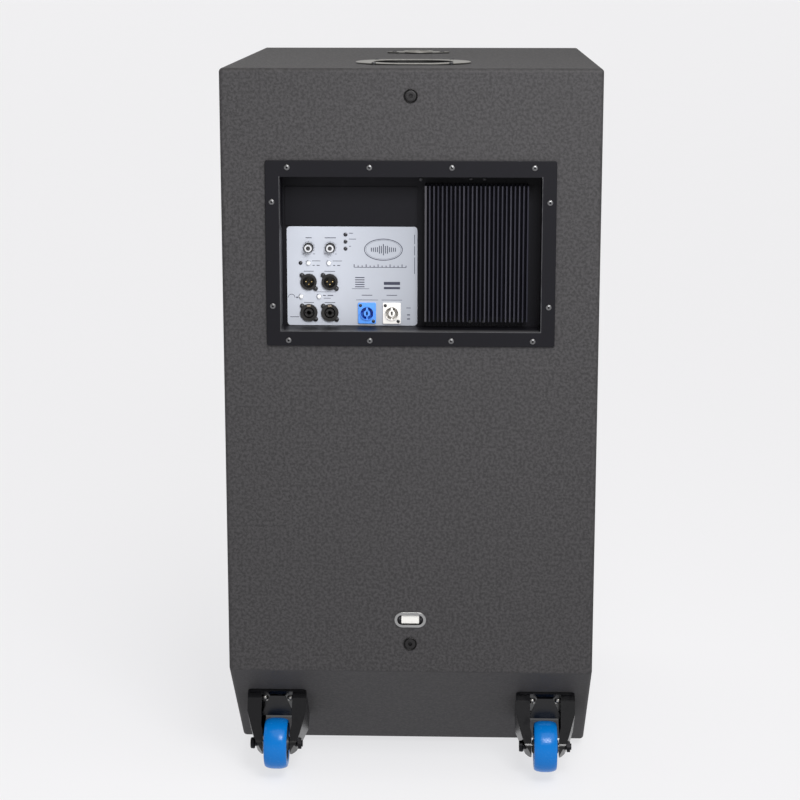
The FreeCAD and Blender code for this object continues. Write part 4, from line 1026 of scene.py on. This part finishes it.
class SUBWOOFER_OT_controls(bpy.types.Operator):
    """Finishes the sockets, knobs, buttons and lights of the control plate"""
    bl_idname = "subwoofer.controls"
    bl_label = "Finish controls"

    def execute(self, context):
        dress(moulded("socket_black", (0.012, 0.011, 0.011, 1.0), 0.38), "link_sockets", "input_sockets")
        dress(turned_steel("pin_gold", (0.80, 0.60, 0.28, 1.0), 0.22), "socket_pins")
        dress(turned_steel("latch_metal", (0.34, 0.29, 0.23, 1.0), 0.35), "latch_left", "latch_right")
        dress(moulded("inlet_blue", (0.10, 0.33, 0.92, 1.0), 0.30), "mains_inlet")
        dress(moulded("outlet_grey", (0.90, 0.88, 0.85, 1.0), 0.30), "mains_outlet")
        dress(knob_plastic(), "gain_knob", "filter_knob")
        buttons = ("button_phase", "button_ground", "button_delay", "button_link")
        dress(moulded("button_white", (0.80, 0.81, 0.83, 1.0), 0.28), *buttons)
        dress(dark_lens(), "status_lights")
        return {"FINISHED"}


class SUBWOOFER_OT_fittings(bpy.types.Operator):
    """Finishes the handles, the pole socket, the name dish, the feet and all screws"""
    bl_idname = "subwoofer.fittings"
    bl_label = "Finish fittings"

    def execute(self, context):
        dress(satin_handle(), "top_handle", "side_handles", "pole_socket")
        dress(turned_steel("bar_metal", (0.055, 0.055, 0.052, 1.0), 0.30), "handle_bars")
        dress(dish_steel(), "name_dish")
        dress(enamel(), "name_plate")
        rubber = grained("foot_rubber", (0.013, 0.013, 0.013, 1.0), 0.7, 1.5 * MM, 0.1 * MM)
        dress(rubber.material, "rubber_feet")
        dress(frame_screw_steel(), "amplifier_frame_screws")
        black = turned_steel("screw_black", (0.085, 0.085, 0.09, 1.0), 0.36)
        dress(black, "panel_screws", "cabinet_screws", "woofer_screws")
        dress(turned_steel("rigging_steel", (0.040, 0.039, 0.040, 1.0), 0.46), "rigging_screws")
        return {"FINISHED"}


class SUBWOOFER_OT_casters(bpy.types.Operator):
    """Finishes the caster forks, bolts and hubs"""
    bl_idname = "subwoofer.casters"
    bl_label = "Finish casters"

    def execute(self, context):
        coat = powder_coat("fork_black", (0.0035, 0.0035, 0.0045, 1.0), 0.20, 0.42)
        dress(coat.material, "caster_fork_left", "caster_fork_right")
        dress(caster_bolt_steel(), "caster_bolts")
        dress(moulded("hub_grey", (0.045, 0.045, 0.050, 1.0), 0.45), "wheel_hub_left", "wheel_hub_right")
        return {"FINISHED"}


class SUBWOOFER_OT_tyres(bpy.types.Operator):
    """Makes the two crowned tyres"""
    bl_idname = "subwoofer.tyres"
    bl_label = "Make tyres"

    def execute(self, context):
        settings = context.scene.subwoofer_wheels
        rubber = tyre_rubber(settings)
        profile = tyre_profile(settings)
        for side in ("left", "right"):
            points, faces = revolved(profile, middle("tyre_" + side), (1, 0, 0), 160)
            tyre = piece_of("tyre_" + side + "_crowned", points, faces, rubber)
            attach(tyre, "wheel_" + side)
            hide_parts("tyre_" + side)
        return {"FINISHED"}


class SUBWOOFER_OT_woofers(bpy.types.Operator):
    """Finishes the woofers and makes their surrounds and spiders"""
    bl_idname = "subwoofer.woofers"
    bl_label = "Finish woofers"

    def execute(self, context):
        dress(cast_crinkle(), "woofer_baskets")
        dress(turned_steel("magnet_steel", (0.10, 0.10, 0.11, 1.0), 0.5, 20 * MM), "woofer_magnets")
        dress(pulp_paper(), "cone_lower", "cone_upper")
        cloth = doped_cloth()
        for place in ("lower", "upper"):
            node = "suspension_" + place
            points, faces, share = suspension_rings(node)
            rings = piece_of(node + "_cloth", points, faces, cloth)
            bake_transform(rings)
            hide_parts(node)
        return {"FINISHED"}


class SUBWOOFER_OT_grille(bpy.types.Operator):
    """Makes the perforated grille and the foam behind it"""
    bl_idname = "subwoofer.grille"
    bl_label = "Make grille"

    def execute(self, context):
        settings = context.scene.subwoofer_grille
        steel = powder_coat("grille_black", (0.012, 0.012, 0.013, 1.0), 0.40, 0.3).material
        points, faces = perforated_sheet(settings)
        sheet = piece_of("perforated_grille", points, faces, steel, 50.0)
        thickened(sheet, settings.sheet)
        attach(sheet, "cabinet")
        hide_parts("grille")
        points, faces = foam_sheet()
        foam = piece_of("acoustic_foam", points, faces, open_foam())
        thickened(foam, settings.foam)
        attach(foam, "cabinet")
        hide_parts("grille_foam")
        return {"FINISHED"}


class SUBWOOFER_OT_printing(bpy.types.Operator):
    """Prints rules, dial scales and plain symbols on the control plate"""
    bl_idname = "subwoofer.printing"
    bl_label = "Print panel"

    def execute(self, context):
        settings = context.scene.subwoofer_panel
        points, faces = printing(settings)
        marks = piece_of("panel_printing", points, faces, ink(settings))
        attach(marks, "cabinet")
        return {"FINISHED"}


class SUBWOOFER_OT_stage(bpy.types.Operator):
    """Makes the pale floor, the soft lights, the sky and the camera"""
    bl_idname = "subwoofer.stage"
    bl_label = "Set stage"

    def execute(self, context):
        settings = context.scene.subwoofer_stage
        context.scene.view_settings.view_transform = "Standard"
        make_floor(settings)
        make_sky()
        soft_sun("key_light", (-0.30, 0.42, 1.05), settings.key, 50.0, (1.0, 0.95, 0.89))
        soft_sun("fill_light", (0.5, -0.9, 0.9), settings.fill, 70.0, (1.0, 1.0, 1.0))
        square_light("panel_light", (-0.45, 1.95, 1.95), 0.8, settings.panel)
        make_camera(settings)
        return {"FINISHED"}


def make_floor(settings):
    """A wide pale disc: rings of points whose radius grows by the same factor from the second ring on."""
    rings, sides = 25, 96
    radius = np.concatenate([[0.01], np.geomspace(0.5, 60.0, rings - 1)])[:, None]
    turn = np.linspace(0.0, math.tau, sides, endpoint=False)[None, :]
    points = np.stack([radius * np.cos(turn), radius * np.sin(turn), 0.0 * radius * turn], axis=-1)
    finish = Finish("stage_floor", specular_ior_level=0.1)
    clouds = finish.noise(0.6, 3.0)
    pale = tuple(settings.floor)
    finish.feed(base_color=finish.mix(clouds, shade(pale, 0.985), shade(pale, 1.01)), roughness=0.9)
    finish.feed(emission_color=(1.0, 1.0, 1.02, 1.0), emission_strength=settings.glow)
    faces = grid_faces(rings, sides, close_columns=True)
    floor = piece_of("floor", points.reshape(-1, 3), faces, finish.material)


def make_sky():
    """A sky that is as pale as the floor at the horizon and darker overhead and below."""
    world = bpy.data.worlds.new("studio")
    world.use_nodes = True
    bpy.context.scene.world = world
    tree = world.node_tree
    direction = tree.nodes.new("ShaderNodeTexCoord")
    parts = tree.nodes.new("ShaderNodeSeparateXYZ")
    ramp = tree.nodes.new("ShaderNodeValToRGB")
    tree.links.new(direction.outputs["Generated"], parts.inputs[0])
    tree.links.new(parts.outputs["Z"], ramp.inputs[0])
    stops = ramp.color_ramp.elements
    stops[0].position, stops[0].color = 0.0, (0.87, 0.87, 0.885, 1.0)
    stops[1].position, stops[1].color = 0.45, (0.24, 0.235, 0.23, 1.0)
    tree.links.new(ramp.outputs[0], tree.nodes["Background"].inputs["Color"])


def soft_sun(name, towards, strength, spread, colour):
    """A sun seen from the object in this direction, as wide as this many degrees."""
    light = bpy.data.lights.new(name, "SUN")
    light.energy = strength
    light.color = colour
    light.angle = math.radians(spread)
    lamp = bpy.data.objects.new(name, light)
    lamp.rotation_mode = "QUATERNION"
    lamp.rotation_quaternion = Vector(towards).to_track_quat("Z", "Y")
    bpy.context.scene.collection.objects.link(lamp)


def square_light(name, place, side, power):
    """A square soft light at a place, turned towards the middle of the object."""
    light = bpy.data.lights.new(name, "AREA")
    light.size = side
    light.energy = power
    light.spread = math.radians(100.0)
    lamp = bpy.data.objects.new(name, light)
    lamp.location = place
    lamp.rotation_mode = "QUATERNION"
    lamp.rotation_quaternion = (Vector(place) - (CAD_LOW + CAD_HIGH) / 2.0).to_track_quat("Z", "Y")
    bpy.context.scene.collection.objects.link(lamp)


def make_camera(settings):
    """A camera behind the object, a little above its top, that looks slightly down."""
    data = bpy.data.cameras.new("camera")
    data.lens = settings.lens
    data.sensor_width = 36.0
    data.shift_y = settings.rise
    data.clip_end = 200.0
    camera = bpy.data.objects.new("camera", data)
    pitch, yaw = 0.203, 0.032
    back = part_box("back_panel")[1].y
    camera.location = (-0.078, back + 2.926, 1.268)
    turned = Matrix.Rotation(math.pi + yaw, 4, "Z") @ Matrix.Rotation(math.pi / 2.0 - pitch, 4, "X")
    camera.rotation_mode = "QUATERNION"
    camera.rotation_quaternion = turned.to_quaternion()
    bpy.context.scene.collection.objects.link(camera)
    bpy.context.scene.camera = camera


class SUBWOOFER_PT_panel(bpy.types.Panel):
    """Lists the steps that dress the subwoofer"""
    bl_idname = "SUBWOOFER_PT_panel"
    bl_label = "Subwoofer"
    bl_space_type = "VIEW_3D"
    bl_region_type = "UI"
    bl_category = "Subwoofer"

    def draw(self, context):
        for step in STEPS:
            self.layout.operator(step.bl_idname)
        for name, settings in SETTINGS.items():
            box = self.layout.box()
            for prop in settings.__annotations__:
                box.prop(getattr(context.scene, name), prop)


SETTINGS = {
    "subwoofer_cabinet": CabinetSettings,
    "subwoofer_grille": GrilleSettings,
    "subwoofer_panel": PanelSettings,
    "subwoofer_wheels": WheelSettings,
    "subwoofer_stage": StageSettings,
}
STEPS = (
    SUBWOOFER_OT_cabinet,
    SUBWOOFER_OT_amplifier,
    SUBWOOFER_OT_controls,
    SUBWOOFER_OT_fittings,
    SUBWOOFER_OT_casters,
    SUBWOOFER_OT_tyres,
    SUBWOOFER_OT_woofers,
    SUBWOOFER_OT_grille,
    SUBWOOFER_OT_printing,
    SUBWOOFER_OT_stage,
)


def register():
    """Registers the settings, hangs them on the scene and registers the steps and the panel."""
    for settings in SETTINGS.values():
        bpy.utils.register_class(settings)
    for name, settings in SETTINGS.items():
        setattr(bpy.types.Scene, name, bpy.props.PointerProperty(type=settings))
    for step in STEPS + (SUBWOOFER_PT_panel,):
        bpy.utils.register_class(step)


def unregister():
    """Undoes register, in the opposite order."""
    for step in (SUBWOOFER_PT_panel,) + STEPS[::-1]:
        bpy.utils.unregister_class(step)
    for name, settings in SETTINGS.items():
        delattr(bpy.types.Scene, name)
        bpy.utils.unregister_class(settings)


def main():
    register()
    bpy.ops.subwoofer.cabinet()
    bpy.ops.subwoofer.amplifier()
    bpy.ops.subwoofer.controls()
    bpy.ops.subwoofer.fittings()
    bpy.ops.subwoofer.casters()
    bpy.ops.subwoofer.tyres()
    bpy.ops.subwoofer.woofers()
    bpy.ops.subwoofer.grille()
    bpy.ops.subwoofer.printing()
    bpy.ops.subwoofer.stage()


if __name__ == "__main__":
    main()
